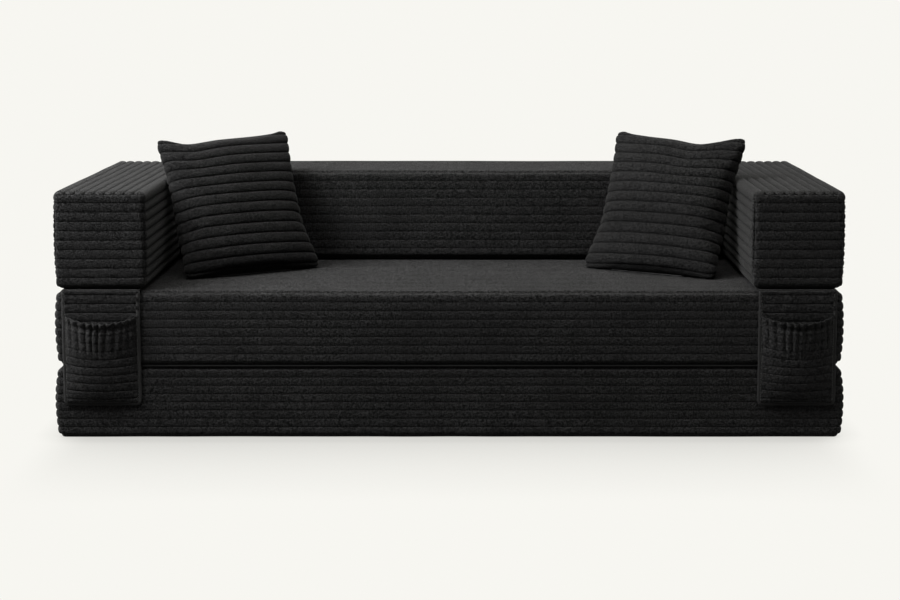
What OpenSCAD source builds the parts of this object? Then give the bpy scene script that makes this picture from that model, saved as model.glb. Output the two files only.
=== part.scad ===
// Folding foam sofa bed in wide-rib corduroy: a seat mattress that carries two arm blocks and a
// back block, a base mattress hinged under its front edge, two pocket flaps and two cushions.
// The origin is the centre of the base's underside, the front looks along -Y and Z is up.

/* [Overall] */
// Width across both arm blocks
sofa_w = 1970; // [1600:10:2400]
// Depth from the front face to the rear face
sofa_d = 840; // [780:10:960]

/* [Mattresses] */
// Height of the fold-out base mattress
base_h = 182; // [150:2:220]
// Height of the seat mattress
seat_h = 188; // [150:2:220]
// Gap between the two mattresses, which holds the hinge tapes
layer_gap = 3; // [2.8:0.1:4]
// Depth that the base's lowest ribs are pressed flat by the floor
foot_flat = 0.5; // [0.4:0.1:0.8]

/* [Arms and back] */
// Width of an arm block
arm_w = 234; // [200:2:280]
// Height of the arm and back blocks
arm_h = 246; // [200:2:300]
// Depth of the back block
back_d = 310; // [240:5:340]
// Gap between the back block and each arm block
side_gap = 1.5; // [1:0.5:4]
// Thickness of an arm's front panel
panel_t = 18; // [17:1:24]

/* [Corduroy] */
// Distance between two rib crests before it is fitted to a face
rib_pitch = 23; // [21:0.5:26]
// Height of a rib above its grooves
rib_h = 4; // [3:0.5:5]
// Thickness of the cloth and its padding behind the grooves
cover_t = 3; // [3:0.5:5]
// Radius of a block's long edges
edge_r = 16; // [15:1:22]
// Radius of a block's upright corners
corner_r = 20; // [18:1:28]
// Distance from a block's edge to the plain lining panel
lining_in = 40; // [30:5:80]

/* [Fits] */
// Gap between a foam core and its cover
foam_gap = 0.3; // [0.2:0.1:0.6]
// Gap left between a sewn piece and the cloth under it
sew_gap = 0.2; // [0.1:0.05:0.3]
// Gap between mated hook and loop tapes
mate_gap = 0.3; // [0.2:0.1:0.5]
// Running gap of a zip slider and of a flap at its fold
run_gap = 0.3; // [0.2:0.05:0.4]

/* [Tapes] */
// Thickness of a hook tape or a loop tape
tape_t = 1.5; // [1:0.1:2]
// Width of a hook tape or a loop tape
tape_w = 60; // [40:5:80]
// Distance from a tape's end to the edge of its block
tape_in = 110; // [100:5:130]
// Thickness of a hinge tape
hinge_tape_t = 1; // [0.8:0.1:1.1]
// Depth of a hinge tape, from the fold towards the rear
hinge_tape_d = 60; // [40:5:100]
// Distance of the fold axis ahead of the front faces
hinge_out = 1; // [0.8:0.1:1.5]

/* [Zips] */
// Width of the zip's slot
zip_w = 26; // [22:1:30]
// Depth of the zip's slot below the rib crests
zip_in = 5; // [4.6:0.1:5.2]
// Distance from a long zip's end to the side of its block
zip_end = 150; // [100:10:300]
// Distance from an arm zip's end to the side of its block
arm_zip_end = 36; // [30:2:50]
// Thickness of the zip's cloth
zip_cloth_t = 1; // [0.8:0.1:1.2]
// Width of the zip's coil
coil_w = 6; // [5:0.5:7]
// Height of the zip's coil
coil_h = 2.4; // [2:0.1:2.6]
// Length of the slider
slider_l = 15; // [12:1:20]
// Wall of the slider round the coil
slider_t = 1.2; // [1:0.1:1.5]
// Length of the slider's pull
pull_l = 30; // [20:1:40]
// Width of the slider's pull
pull_w = 9; // [6:0.5:10]

/* [Pockets] */
// Width of a pocket flap
flap_w = 195; // [170:5:220]
// Length of a pocket flap from its fold to its lower edge
flap_l = 290; // [280:5:300]
// Thickness of the flap's cloth without its ribs
flap_t = 2; // [1.5:0.1:2.5]
// Height of the flap's ribs
flap_rib_h = 1.5; // [1:0.1:2]
// Distance of the flap's fold axis ahead of the front faces
flap_out = 3; // [2.5:0.1:4]
// Distance from the flap's middle to the side of the sofa
flap_in = 118; // [112:1:130]
// Width of the edge binding
bind_w = 3; // [2:0.5:4]
// Radius of the flap's lower corners
flap_r = 8; // [6:1:12]
// Depth of the tab that the arm block holds down
tab_d = 90; // [60:5:95]
// Thickness of the tab
tab_t = 2; // [1.5:0.1:2.5]
// Width of a pouch
pouch_w = 178; // [150:2:180]
// Height of a pouch at its sides
pouch_l = 222; // [200:2:225]
// Distance from the flap's lower edge to the pouch
pouch_up = 8; // [6:1:12]
// Distance that the pouch's rim stands out from the flap
pouch_out = 34; // [24:2:44]
// Distance that the rim dips in its middle
pouch_dip = 20; // [10:1:30]
// Thickness of the pouch's cloth
pouch_t = 2; // [1.5:0.1:2.5]
// Height of the gathers under the rim
gather_h = 3; // [1:0.5:4]
// Diameter of the elastic cord in the rim
elastic_d = 3; // [2:0.2:4]

/* [Cushions] */
// Width and height of a cushion between its ears
cushion_w = 394; // [340:2:410]
// Thickness of a cushion at its middle
cushion_t = 150; // [120:2:160]
// Distance that the cushion's upper edge and sides are drawn in
cushion_draw = 15; // [8:1:24]
// Distance that the cushion's lower edge is drawn in
cushion_sag = 6; // [4:1:10]
// Height of the cushion's ribs
cushion_rib_h = 4; // [2:0.5:5]
// Thickness of the cushion's seam
cushion_seam = 3; // [2:0.5:4]
// Wall of the cushion's cover at its middle
cushion_wall = 5; // [4:0.5:7]
// Depth of solid seam between the edge and the filling
cushion_hem = 14; // [12:1:20]
// Length of the zip in a cushion's lower seam
cushion_zip_l = 240; // [160:10:280]
// Thickness of that zip's slot
cushion_zip_t = 2; // [1.6:0.1:2.4]
// Gap between the filling and the cover
fill_gap = 0.5; // [0.4:0.1:0.8]
// Turn of a cushion about the upright axis, in degrees
cushion_yaw = 33; // [28:1:38]
// Lean of a cushion, in degrees
cushion_lean = 25; // [22:1:28]
// Distance from the arm's inner face to the middle of the cushion's lower edge
cushion_from_arm = 224; // [222:1:260]
// Distance from the back's front face to the middle of the cushion's lower edge
cushion_from_back = 229; // [226:1:260]
// Gap between a cushion and the seat
rest_gap = 0.3; // [0.2:0.1:0.5]

/* [Hidden] */
// Facets that stand for a full circle, and for one whose arcs are short and flat
round_fn = 64;
flat_fn = 256;
// Overrun of a cut past the face that it opens
overrun = 10;
// Distance from the rib crests to a block's foam
shell_in = rib_h + cover_t;
// Distance from the rib crests to the solid core of a section
core_in = 2 * rib_h;
// Distance that crossing shapes stand clear of the rib crests
crest_clear = rib_h / 2;
// Distance from an arm's crests to the edge of its front panel
panel_in = rib_h + sew_gap;
// Thickness of the stack of tapes under an arm or the back
stack_t = 2 * sew_gap + 2 * tape_t + mate_gap;
// Heights of the undersides and of the seat's crests
seat_z = base_h + layer_gap;
seat_top = seat_z + seat_h;
arm_z = seat_top + stack_t;
// Place of an arm block's middle and of its inner face
arm_x = sofa_w / 2 - arm_w / 2;
arm_inner = sofa_w / 2 - arm_w;
// Width of the back block, its middle and its front face
back_w = 2 * (arm_inner - side_gap);
back_y = sofa_d / 2 - back_d / 2;
back_front = sofa_d / 2 - back_d;
// Fold axis between the two mattresses
hinge_y = -sofa_d / 2 - hinge_out;
hinge_z = base_h + layer_gap / 2;
// Fold axis of the pocket flaps and the flaps' middle
flap_y = -sofa_d / 2 - flap_out;
flap_z = seat_top + stack_t / 2;
flap_x = sofa_w / 2 - flap_in;
// Distance from the flap's back face to the pouch's back edge
pouch_y = flap_t + flap_rib_h + sew_gap;
// Arc of the pouch's rim: half of its chord, its rise and its radius
rim_c = pouch_w / 2;
rim_rise = sqrt(pouch_out * pouch_out + pouch_dip * pouch_dip);
rim_r = (rim_c * rim_c + rim_rise * rim_rise) / (2 * rim_rise);
rim_half = asin(rim_c / rim_r);
// Share of the rim that the elastic cord spans
elastic_share = 0.86;
// Gathers across the pouch, columns for each and the heights of the rows as shares
gather_n = 9;
gather_cols = 4;
pouch_cols = gather_n * gather_cols;
pouch_row_shares = [0, 0.06, 0.18, 0.38, 0.58, 0.72, 0.84, 0.93, 1];
// Share of the gathers' height that each of those rows has
gather_shares = [0, 0, 0, 0, 0.3, 0.7, 1, 0.5, 0];
// Ribs of a cushion, and the columns of its cover and of its filling
cushion_ribs = 14;
cushion_cols = 12;
fill_cols = 10;
// Exponent of the cushion's crown
crown_share = 0.5;
// Length of the slots for the zips
long_zip = sofa_w - 2 * zip_end;
back_zip = back_w - 2 * zip_end;
arm_zip = arm_w - 2 * arm_zip_end;
// Distance of a closed slider from the end of its zip
slider_end = slider_l;

corduroy = [0.10, 0.10, 0.11];
lining = [0.16, 0.16, 0.17];
foam = [0.93, 0.90, 0.78];
webbing = [0.06, 0.06, 0.06];
metal = [0.62, 0.62, 0.64];

// Number of pitches that fit a length, and the even number nearest to it
function pitches(length) = max(1, round(length / rib_pitch));
function even_pitches(length) = max(2, 2 * round(length / rib_pitch / 2));
// Radius of a rib that is a pitch wide and rib_h high
function rib_r(pitch, high) = (pitch * pitch / 4 + high * high) / (2 * high);

// Turns a section drawn in X and Y into a prism along X or along Y
module along_x(length) {
  rotate([90, 0, 90]) translate([0, 0, -length / 2]) linear_extrude(length) children();
}
module along_y(length) {
  rotate([90, 0, 0]) translate([0, 0, -length / 2]) linear_extrude(length) children();
}

// Rectangle with round corners, centred on the origin
module round_rect(w, d, r) {
  union() {
    square([w - 2 * r, d], center = true);
    square([w, d - 2 * r], center = true);
    for (sx = [-1, 1], sy = [-1, 1])
      translate([sx * (w / 2 - r), sy * (d / 2 - r)]) circle(r, $fn = round_fn);
  }
}

// Section of a block that stands on the X axis: the crests of its ribs touch a w by h rectangle,
// and a plain top can stand a lift above it
module rib_section(w, h, top, bottom, sides, lift = 0) {
  side_n = pitches(h - 2 * edge_r);
  side_p = (h - 2 * edge_r) / side_n;
  flat_n = even_pitches(w - 2 * edge_r);
  flat_p = (w - 2 * edge_r) / flat_n;
  union() {
    translate([-w / 2 + core_in, core_in]) square([w - 2 * core_in, h - 2 * core_in]);
    for (s = [-1, 1], z = [edge_r, h + lift - edge_r])
      translate([s * (w / 2 - edge_r), z]) circle(edge_r, $fn = round_fn);
    if (sides) {
      for (s = [-1, 1], i = [1 : side_n - 1])
        translate([s * (w / 2 - rib_r(side_p, rib_h)), edge_r + i * side_p])
          circle(rib_r(side_p, rib_h), $fn = round_fn);
    } else {
      translate([-w / 2, edge_r]) square([w, h + lift - 2 * edge_r]);
    }
    if (top) {
      for (i = [1 : flat_n - 1])
        translate([-w / 2 + edge_r + i * flat_p, h - rib_r(flat_p, rib_h)])
          circle(rib_r(flat_p, rib_h), $fn = round_fn);
    } else {
      translate([-w / 2 + edge_r, h / 2]) square([w - 2 * edge_r, h / 2 + lift]);
    }
    if (bottom) {
      for (i = [1 : flat_n - 1])
        translate([-w / 2 + edge_r + i * flat_p, rib_r(flat_p, rib_h)])
          circle(rib_r(flat_p, rib_h), $fn = round_fn);
    } else {
      translate([-w / 2 + edge_r, 0]) square([w - 2 * edge_r, h / 2]);
    }
  }
}

// Upright prism that rounds a block's corners and stands clear of its crests
module corner_prism(w, d, h) {
  linear_extrude(h + crest_clear)
    round_rect(w + 2 * crest_clear, d + 2 * crest_clear, corner_r);
}

// Block with ribs along X on its front, rear and chosen faces, and along Y on its sides
module wide_block(w, d, h, top, bottom, sides) {
  intersection() {
    along_x(w + 2 * crest_clear) rib_section(d, h, top, bottom, true);
    along_y(d + 2 * crest_clear)
      rib_section(w, h, false, false, sides, top ? crest_clear : 0);
    corner_prism(w, d, h);
  }
}

// Plain block inside a cover, smaller by a gap on every face
module core_block(w, d, h, gap) {
  translate([0, 0, shell_in + gap])
    linear_extrude(h - 2 * (shell_in + gap))
      round_rect(w - 2 * (shell_in + gap), d - 2 * (shell_in + gap), corner_r - shell_in);
}

// Plain panel that closes the window in a cover's hidden face
module lining_block(w, d, gap) {
  linear_extrude(shell_in)
    round_rect(w - 2 * (lining_in + gap), d - 2 * (lining_in + gap), corner_r);
}

// Window for the lining, cut from a cover whose hidden face lies at height z
module lining_window(w, d, z) {
  translate([0, 0, z - overrun])
    linear_extrude(shell_in + 2 * overrun)
      round_rect(w - 2 * lining_in, d - 2 * lining_in, corner_r);
}

// Slot in a rear face, its floor on the XZ plane
module zip_slot(length) {
  translate([-length / 2, 0, -zip_w / 2]) cube([length, zip_in + overrun, zip_w]);
}

// Zip in its slot: cloth, coil and a stop at each end
module zip_strip(length) {
  strip_l = length - 2 * run_gap;
  stop_l = slider_l / 4;
  coil_y = sew_gap + zip_cloth_t;
  union() {
    translate([-strip_l / 2, sew_gap, run_gap - zip_w / 2])
      cube([strip_l, zip_cloth_t, zip_w - 2 * run_gap]);
    translate([-strip_l / 2, coil_y - zip_cloth_t / 2, -coil_w / 2])
      cube([strip_l, coil_h + zip_cloth_t / 2, coil_w]);
    for (s = [-1, 1])
      translate([s * (strip_l / 2 - stop_l / 2) - stop_l / 2, coil_y - zip_cloth_t / 2, -coil_w])
        cube([stop_l, coil_h + zip_cloth_t / 2, 2 * coil_w]);
  }
}

// Slider that straddles the coil, with its pull hanging clear of the ribs
module zip_slider() {
  slider_w = coil_w + 2 * (run_gap + slider_t);
  foot_y = sew_gap + zip_cloth_t + run_gap;
  roof_y = sew_gap + zip_cloth_t + coil_h + run_gap;
  pull_y = max(roof_y + slider_t / 2, zip_in + run_gap);
  color(metal) difference() {
    union() {
      translate([-slider_l / 2, foot_y, -slider_w / 2])
        cube([slider_l, roof_y + slider_t - foot_y, slider_w]);
      translate([-pull_w / 2, pull_y, slider_w / 2 - pull_l])
        cube([pull_w, slider_t, pull_l]);
      translate([-pull_w / 2, roof_y, slider_w / 2 - 2 * slider_t])
        cube([pull_w, pull_y + slider_t - roof_y, 2 * slider_t]);
    }
    translate([-slider_l / 2 - overrun, foot_y - overrun, -coil_w / 2 - run_gap])
      cube([slider_l + 2 * overrun, roof_y - foot_y + overrun, coil_w + 2 * run_gap]);
    rotate([-90, 0, 0])
      translate([0, pull_l - slider_w / 2 - pull_w / 2, pull_y - overrun])
        cylinder(r = pull_w / 4, h = slider_t + 2 * overrun, $fn = round_fn);
  }
}

// Closed solid between two grids of points that have the same rows and columns
module grid_solid(front, back) {
  rows = len(front);
  cols = len(front[0]);
  count = rows * cols;
  points = [for (row = front) each row, for (row = back) each row];
  edge = concat(
    [for (c = [0 : cols - 2]) [c, c + 1]],
    [for (r = [0 : rows - 2]) [(r + 1) * cols - 1, (r + 2) * cols - 1]],
    [for (c = [cols - 1 : -1 : 1]) [(rows - 1) * cols + c, (rows - 1) * cols + c - 1]],
    [for (r = [rows - 1 : -1 : 1]) [r * cols, (r - 1) * cols]]
  );
  faces = concat(
    [for (r = [0 : rows - 2], c = [0 : cols - 2], f = [0, 1])
      let (a = r * cols + c)
        f == 0 ? [a, a + cols, a + cols + 1] : [a, a + cols + 1, a + 1]],
    [for (r = [0 : rows - 2], c = [0 : cols - 2], f = [0, 1])
      let (a = count + r * cols + c)
        f == 0 ? [a, a + cols + 1, a + cols] : [a, a + 1, a + cols + 1]],
    [for (e = edge, f = [0, 1])
      f == 0 ? [e[0], e[1], e[1] + count] : [e[0], e[1] + count, e[0] + count]]
  );
  polyhedron(points = points, faces = faces, convexity = 6);
}

// Distance of the pouch's rim from its chord, as a share of the rim's rise
function rim_share(s) =
  (sqrt(rim_r * rim_r - rim_c * rim_c * s * s) - (rim_r - rim_rise)) / rim_rise;

// Point of the pouch's inner face: s runs across from -1 to 1, and row counts up from the bottom
function pouch_point(s, row, off) =
  let (
    v = pouch_row_shares[row],
    swell = sqrt(v * (2 - v)) * rim_share(s),
    gather = gather_shares[row] * rim_share(s) * (1 - cos(180 * gather_n * (s + 1))) / 2
  )
  [s * rim_c, -(pouch_y + off + pouch_out * swell + gather_h * gather),
   pouch_up + v * (pouch_l - pouch_dip * rim_share(s))];

function pouch_grid(off) =
  [for (row = [0 : len(pouch_row_shares) - 1])
    [for (c = [0 : pouch_cols]) pouch_point(-1 + 2 * c / pouch_cols, row, off)]];

// Point of a cushion that stands on its lower edge, s and t run from -1 to 1 across and up
function crown(s, t) = pow(max(0, (1 - s * s) * (1 - t * t)), crown_share);
function cushion_point(s, t, hem, seam, half, rib, side) =
  let (
    low = t < 0 ? cushion_sag : cushion_draw,
    full = cushion_w / 2 - hem,
    ridge = rib * min(1, 3 * crown(s, t))
  )
  [s * (full - cushion_draw * (1 - t * t)),
   side * (seam / 2 + (half - seam / 2) * crown(s, t) + ridge),
   cushion_w / 2 + t * (full - low * (1 - s * s))];

// Grid of a cushion's front or rear; the columns are closer near the sides
function cushion_grid(cols, rows, hem, seam, half, rib, side) =
  [for (r = [0 : rows])
    [for (c = [0 : cols])
      cushion_point(sin(90 * (2 * c / cols - 1)), 2 * r / rows - 1, hem, seam, half,
                    r % 2 == 1 ? rib : 0, side)]];

// Front or rear of the cover, and of a plain body inside it that is smaller by a gap
function cover_grid(side) =
  cushion_grid(cushion_cols, 2 * cushion_ribs, 0, cushion_seam, cushion_t / 2 - cushion_rib_h,
               cushion_rib_h, side);
function fill_grid(gap, side) =
  cushion_grid(fill_cols, fill_cols, cushion_hem + gap, cushion_seam - 2 * gap,
               cushion_t / 2 - cushion_rib_h - cushion_wall - gap, 0, side);

// Lowest point of a leaning cushion below its own origin
function lean_z(p) = p[2] * cos(cushion_lean) - p[1] * sin(cushion_lean);
cushion_low = min([for (row = cover_grid(1), p = row) lean_z(p)]);

// Puts a cushion on the seat, leaning into the left or the right corner
module on_seat(side) {
  mirror([side > 0 ? 1 : 0, 0, 0])
    translate([-arm_inner + cushion_from_arm, back_front - cushion_from_back,
               seat_top + rest_gap - cushion_low])
      rotate([0, 0, cushion_yaw]) rotate([-cushion_lean, 0, 0]) children();
}

// Puts a flap's piece at its fold, hanging down from z = 0
module on_flap(side) {
  translate([side * flap_x, flap_y, flap_z - run_gap]) children();
}

// Outline of a flap in X and Z, its fold on the X axis, made smaller by a margin
module flap_outline(margin) {
  union() {
    translate([margin - flap_w / 2, flap_r - flap_l])
      square([flap_w - 2 * margin, flap_l - flap_r]);
    translate([flap_r - flap_w / 2, margin - flap_l])
      square([flap_w - 2 * flap_r, flap_r]);
    for (s = [-1, 1])
      translate([s * (flap_w / 2 - flap_r), flap_r - flap_l])
        circle(flap_r - margin, $fn = round_fn);
  }
}

module seat_foam() {
  color(foam) translate([0, 0, seat_z]) core_block(sofa_w, sofa_d, seat_h, foam_gap);
}

module seat_cover() {
  color(corduroy) translate([0, 0, seat_z]) difference() {
    wide_block(sofa_w, sofa_d, seat_h, true, false, true);
    core_block(sofa_w, sofa_d, seat_h, 0);
    lining_window(sofa_w, sofa_d, 0);
    translate([0, sofa_d / 2 - zip_in, seat_h / 2]) zip_slot(long_zip);
  }
}

module seat_lining() {
  color(lining) translate([0, 0, seat_z]) lining_block(sofa_w, sofa_d, sew_gap);
}

module seat_zip() {
  color(webbing) translate([0, sofa_d / 2 - zip_in, seat_z + seat_h / 2]) zip_strip(long_zip);
}

module seat_zip_slider() {
  translate([long_zip / 2 - slider_end, sofa_d / 2 - zip_in, seat_z + seat_h / 2]) zip_slider();
}

module base_foam() {
  color(foam) core_block(sofa_w, sofa_d, base_h, foam_gap);
}

module base_cover() {
  color(corduroy) difference() {
    translate([0, 0, -foot_flat])
      wide_block(sofa_w, sofa_d, base_h + foot_flat, false, true, true);
    core_block(sofa_w, sofa_d, base_h, 0);
    lining_window(sofa_w, sofa_d, base_h);
    translate([0, 0, -overrun]) linear_extrude(overrun) square([sofa_w, sofa_d], center = true);
    translate([0, sofa_d / 2 - zip_in, base_h / 2]) zip_slot(long_zip);
  }
}

module base_lining() {
  color(lining) translate([0, 0, base_h - shell_in]) lining_block(sofa_w, sofa_d, sew_gap);
}

module base_zip() {
  color(webbing) translate([0, sofa_d / 2 - zip_in, base_h / 2]) zip_strip(long_zip);
}

module base_zip_slider() {
  translate([long_zip / 2 - slider_end, sofa_d / 2 - zip_in, base_h / 2]) zip_slider();
}

module back_foam() {
  color(foam) translate([0, back_y, arm_z]) core_block(back_w, back_d, arm_h, foam_gap);
}

module back_cover() {
  color(corduroy) translate([0, back_y, arm_z]) difference() {
    wide_block(back_w, back_d, arm_h, true, false, false);
    core_block(back_w, back_d, arm_h, 0);
    lining_window(back_w, back_d, 0);
    translate([0, back_d / 2 - zip_in, arm_h / 2]) zip_slot(back_zip);
  }
}

module back_lining() {
  color(lining) translate([0, back_y, arm_z]) lining_block(back_w, back_d, sew_gap);
}

module back_zip_strip() {
  color(webbing) translate([0, sofa_d / 2 - zip_in, arm_z + arm_h / 2]) zip_strip(back_zip);
}

module back_zip_slider() {
  translate([back_zip / 2 - slider_end, sofa_d / 2 - zip_in, arm_z + arm_h / 2]) zip_slider();
}

// Whole arm block: ribs along Y on its top and sides, along X on its front and rear
module arm_block() {
  intersection() {
    along_y(sofa_d + 2 * crest_clear) rib_section(arm_w, arm_h, true, false, true);
    along_x(arm_w + 2 * crest_clear)
      rib_section(sofa_d, arm_h, false, false, true, crest_clear);
    corner_prism(arm_w, sofa_d, arm_h);
  }
}

// Foam of an arm: its front end lies behind the front panel
module arm_core(gap) {
  core_l = sofa_d - panel_t - shell_in;
  translate([0, sofa_d / 2 - shell_in - core_l / 2, shell_in + gap])
    linear_extrude(arm_h - 2 * (shell_in + gap))
      square([arm_w - 2 * (shell_in + gap), core_l - 2 * gap], center = true);
}

module arm_foam(side) {
  color(foam) translate([side * arm_x, 0, arm_z]) arm_core(foam_gap);
}

module arm_cover(side) {
  color(corduroy) translate([side * arm_x, 0, arm_z]) difference() {
    arm_block();
    arm_core(0);
    lining_window(arm_w, sofa_d, 0);
    translate([-arm_w, -sofa_d / 2 - overrun, -overrun])
      cube([2 * arm_w, panel_t + overrun, arm_h + 2 * overrun]);
    translate([0, sofa_d / 2 - zip_in, arm_h / 2]) zip_slot(arm_zip);
  }
}

// Front panel of an arm: it ends just under the ribs' grooves, so the ribs stand proud round it
module arm_panel(side) {
  color(corduroy) translate([side * arm_x, 0, arm_z]) intersection() {
    arm_block();
    translate([0, (panel_t - sew_gap - sofa_d) / 2, arm_h / 2])
      rotate([90, 0, 0])
        translate([0, 0, (sew_gap - panel_t) / 2])
          linear_extrude(panel_t - sew_gap)
            round_rect(arm_w - 2 * panel_in, arm_h - 2 * panel_in, edge_r - panel_in);
  }
}

module arm_lining(side) {
  color(lining) translate([side * arm_x, 0, arm_z]) lining_block(arm_w, sofa_d, sew_gap);
}

module arm_zip_strip(side) {
  color(webbing) translate([side * arm_x, sofa_d / 2 - zip_in, arm_z + arm_h / 2])
    zip_strip(arm_zip);
}

module arm_zip_slider(side) {
  translate([side * arm_x + arm_zip / 2 - slider_end, sofa_d / 2 - zip_in, arm_z + arm_h / 2])
    zip_slider();
}

// Tape on the seat under a block; the hook tape lies over the loop tape
module mating_tape(x, y, w, d, hooks) {
  z = seat_top + sew_gap + (hooks ? tape_t + mate_gap : 0);
  color(webbing) translate([x, y, z]) linear_extrude(tape_t) square([w, d], center = true);
}

module arm_tape(side, hooks) {
  mating_tape(side * arm_x, 0, tape_w, sofa_d - 2 * tape_in, hooks);
}

module back_tape(hooks) {
  mating_tape(0, back_y, back_w - 2 * tape_in, tape_w, hooks);
}

// Strip of the cloth hinge, from just behind the fold axis into the gap between the mattresses
module hinge_tape(z) {
  front = hinge_y + run_gap + sew_gap;
  color(webbing) translate([-sofa_w / 2 + corner_r, front, z])
    cube([sofa_w - 2 * corner_r, hinge_tape_d, hinge_tape_t]);
}

// Tab between the arm and the seat, which holds the flap at its fold
module pocket_tab(side) {
  color(webbing) translate([side * flap_x - flap_w / 2, flap_y + run_gap, flap_z - tab_t / 2])
    cube([flap_w, tab_d, tab_t]);
}

// Flap with ribs across its front
module pocket_panel(side) {
  margin = bind_w + sew_gap;
  rib_n = pitches(flap_l - 2 * margin);
  rib_p = (flap_l - margin + 2 * sew_gap) / rib_n;
  round_r = rib_r(rib_p, flap_rib_h);
  color(corduroy) on_flap(side) intersection() {
    rotate([90, 0, 0]) linear_extrude(flap_t + flap_rib_h) flap_outline(margin);
    rotate([90, 0, -90]) translate([0, -flap_l, -flap_w / 2]) linear_extrude(flap_w)
      intersection() {
        square([flap_t + flap_rib_h, flap_l]);
        union() {
          square([flap_t - sew_gap, flap_l]);
          for (i = [0 : rib_n - 1])
            translate([flap_t + flap_rib_h - round_r, margin - sew_gap + (i + 1 / 2) * rib_p])
              circle(round_r, $fn = flat_fn);
        }
      }
  }
}

// Binding round the flap's sides and lower edge
module pocket_binding(side) {
  color(webbing) on_flap(side) rotate([90, 0, 0]) linear_extrude(flap_t + flap_rib_h)
    difference() {
      flap_outline(0);
      flap_outline(bind_w);
      translate([bind_w - flap_w / 2, -bind_w]) square([flap_w - 2 * bind_w, 2 * bind_w]);
    }
}

// Gathered pouch, open at its top
module pocket_pouch(side) {
  color(corduroy) on_flap(side) translate([0, 0, -flap_l])
    grid_solid(pouch_grid(pouch_t), pouch_grid(0));
}

// Elastic cord just behind the pouch's rim, on the rim's own arc
module pocket_elastic(side) {
  slope = atan2(pouch_dip, pouch_out);
  drop = elastic_d / 2 + pouch_t;
  cord_r = rim_r - (run_gap + elastic_d / 2) / cos(slope);
  color(webbing) on_flap(side)
    translate([0, -pouch_y, pouch_up + pouch_l - flap_l - drop])
      rotate([slope, 0, 0]) translate([0, rim_r - rim_rise, 0])
        rotate([0, 0, -90 - elastic_share * rim_half])
          rotate_extrude(angle = 2 * elastic_share * rim_half, $fn = 2 * round_fn)
            translate([cord_r, 0]) circle(elastic_d / 2, $fn = round_fn);
}

// Opening in the cushion's lower seam, from height low to height high above its ears
module cushion_slot(gap, low, high) {
  translate([gap - cushion_zip_l / 2, gap - cushion_zip_t / 2, low])
    cube([cushion_zip_l - 2 * gap, cushion_zip_t - 2 * gap, high - low]);
}

module cushion_cover(side) {
  color(corduroy) on_seat(side) difference() {
    grid_solid(cover_grid(-1), cover_grid(1));
    grid_solid(fill_grid(0, -1), fill_grid(0, 1));
    cushion_slot(0, -overrun, cushion_hem + cushion_sag + fill_gap);
  }
}

module cushion_fill(side) {
  color(foam) on_seat(side) grid_solid(fill_grid(fill_gap, -1), fill_grid(fill_gap, 1));
}

// Closed zip in the cushion's lower seam
module cushion_zip(side) {
  color(webbing) on_seat(side) cushion_slot(sew_gap, cushion_sag, cushion_hem);
}

seat_foam();
seat_cover();
seat_lining();
seat_zip();
seat_zip_slider();
base_foam();
base_cover();
base_lining();
base_zip();
base_zip_slider();
back_foam();
back_cover();
back_lining();
back_zip_strip();  // back_zip
back_zip_slider();
arm_foam(-1);  // arm_foam_left
arm_cover(-1);  // arm_cover_left
arm_panel(-1);  // arm_panel_left
arm_lining(-1);  // arm_lining_left
arm_zip_strip(-1);  // arm_zip_left
arm_zip_slider(-1);  // arm_zip_slider_left
arm_foam(1);  // arm_foam_right
arm_cover(1);  // arm_cover_right
arm_panel(1);  // arm_panel_right
arm_lining(1);  // arm_lining_right
arm_zip_strip(1);  // arm_zip_right
arm_zip_slider(1);  // arm_zip_slider_right
arm_tape(-1, true);  // arm_hook_tape_left
arm_tape(1, true);  // arm_hook_tape_right
arm_tape(-1, false);  // seat_loop_tape_left
arm_tape(1, false);  // seat_loop_tape_right
back_tape(true);  // back_hook_tape
back_tape(false);  // seat_loop_tape_back
hinge_tape(seat_z - sew_gap - hinge_tape_t);  // hinge_tape_upper
hinge_tape(base_h + sew_gap);  // hinge_tape_lower
pocket_tab(-1);  // pocket_tab_left
pocket_panel(-1);  // pocket_panel_left
pocket_binding(-1);  // pocket_binding_left
pocket_pouch(-1);  // pocket_pouch_left
pocket_elastic(-1);  // pocket_elastic_left
pocket_tab(1);  // pocket_tab_right
pocket_panel(1);  // pocket_panel_right
pocket_binding(1);  // pocket_binding_right
pocket_pouch(1);  // pocket_pouch_right
pocket_elastic(1);  // pocket_elastic_right
cushion_cover(-1);  // cushion_cover_left
cushion_fill(-1);  // cushion_fill_left
cushion_zip(-1);  // cushion_zip_left
cushion_cover(1);  // cushion_cover_right
cushion_fill(1);  // cushion_fill_right
cushion_zip(1);  // cushion_zip_right
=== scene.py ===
# %% [markdown]
# A folding foam sofa bed in black wide-wale corduroy: two mattresses hinged at the front, two arm
# blocks and a back block held by tapes, two loose cushions and two hanging pockets.
# The construction model gives the frame, and this script dresses each part where it stands.

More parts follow.
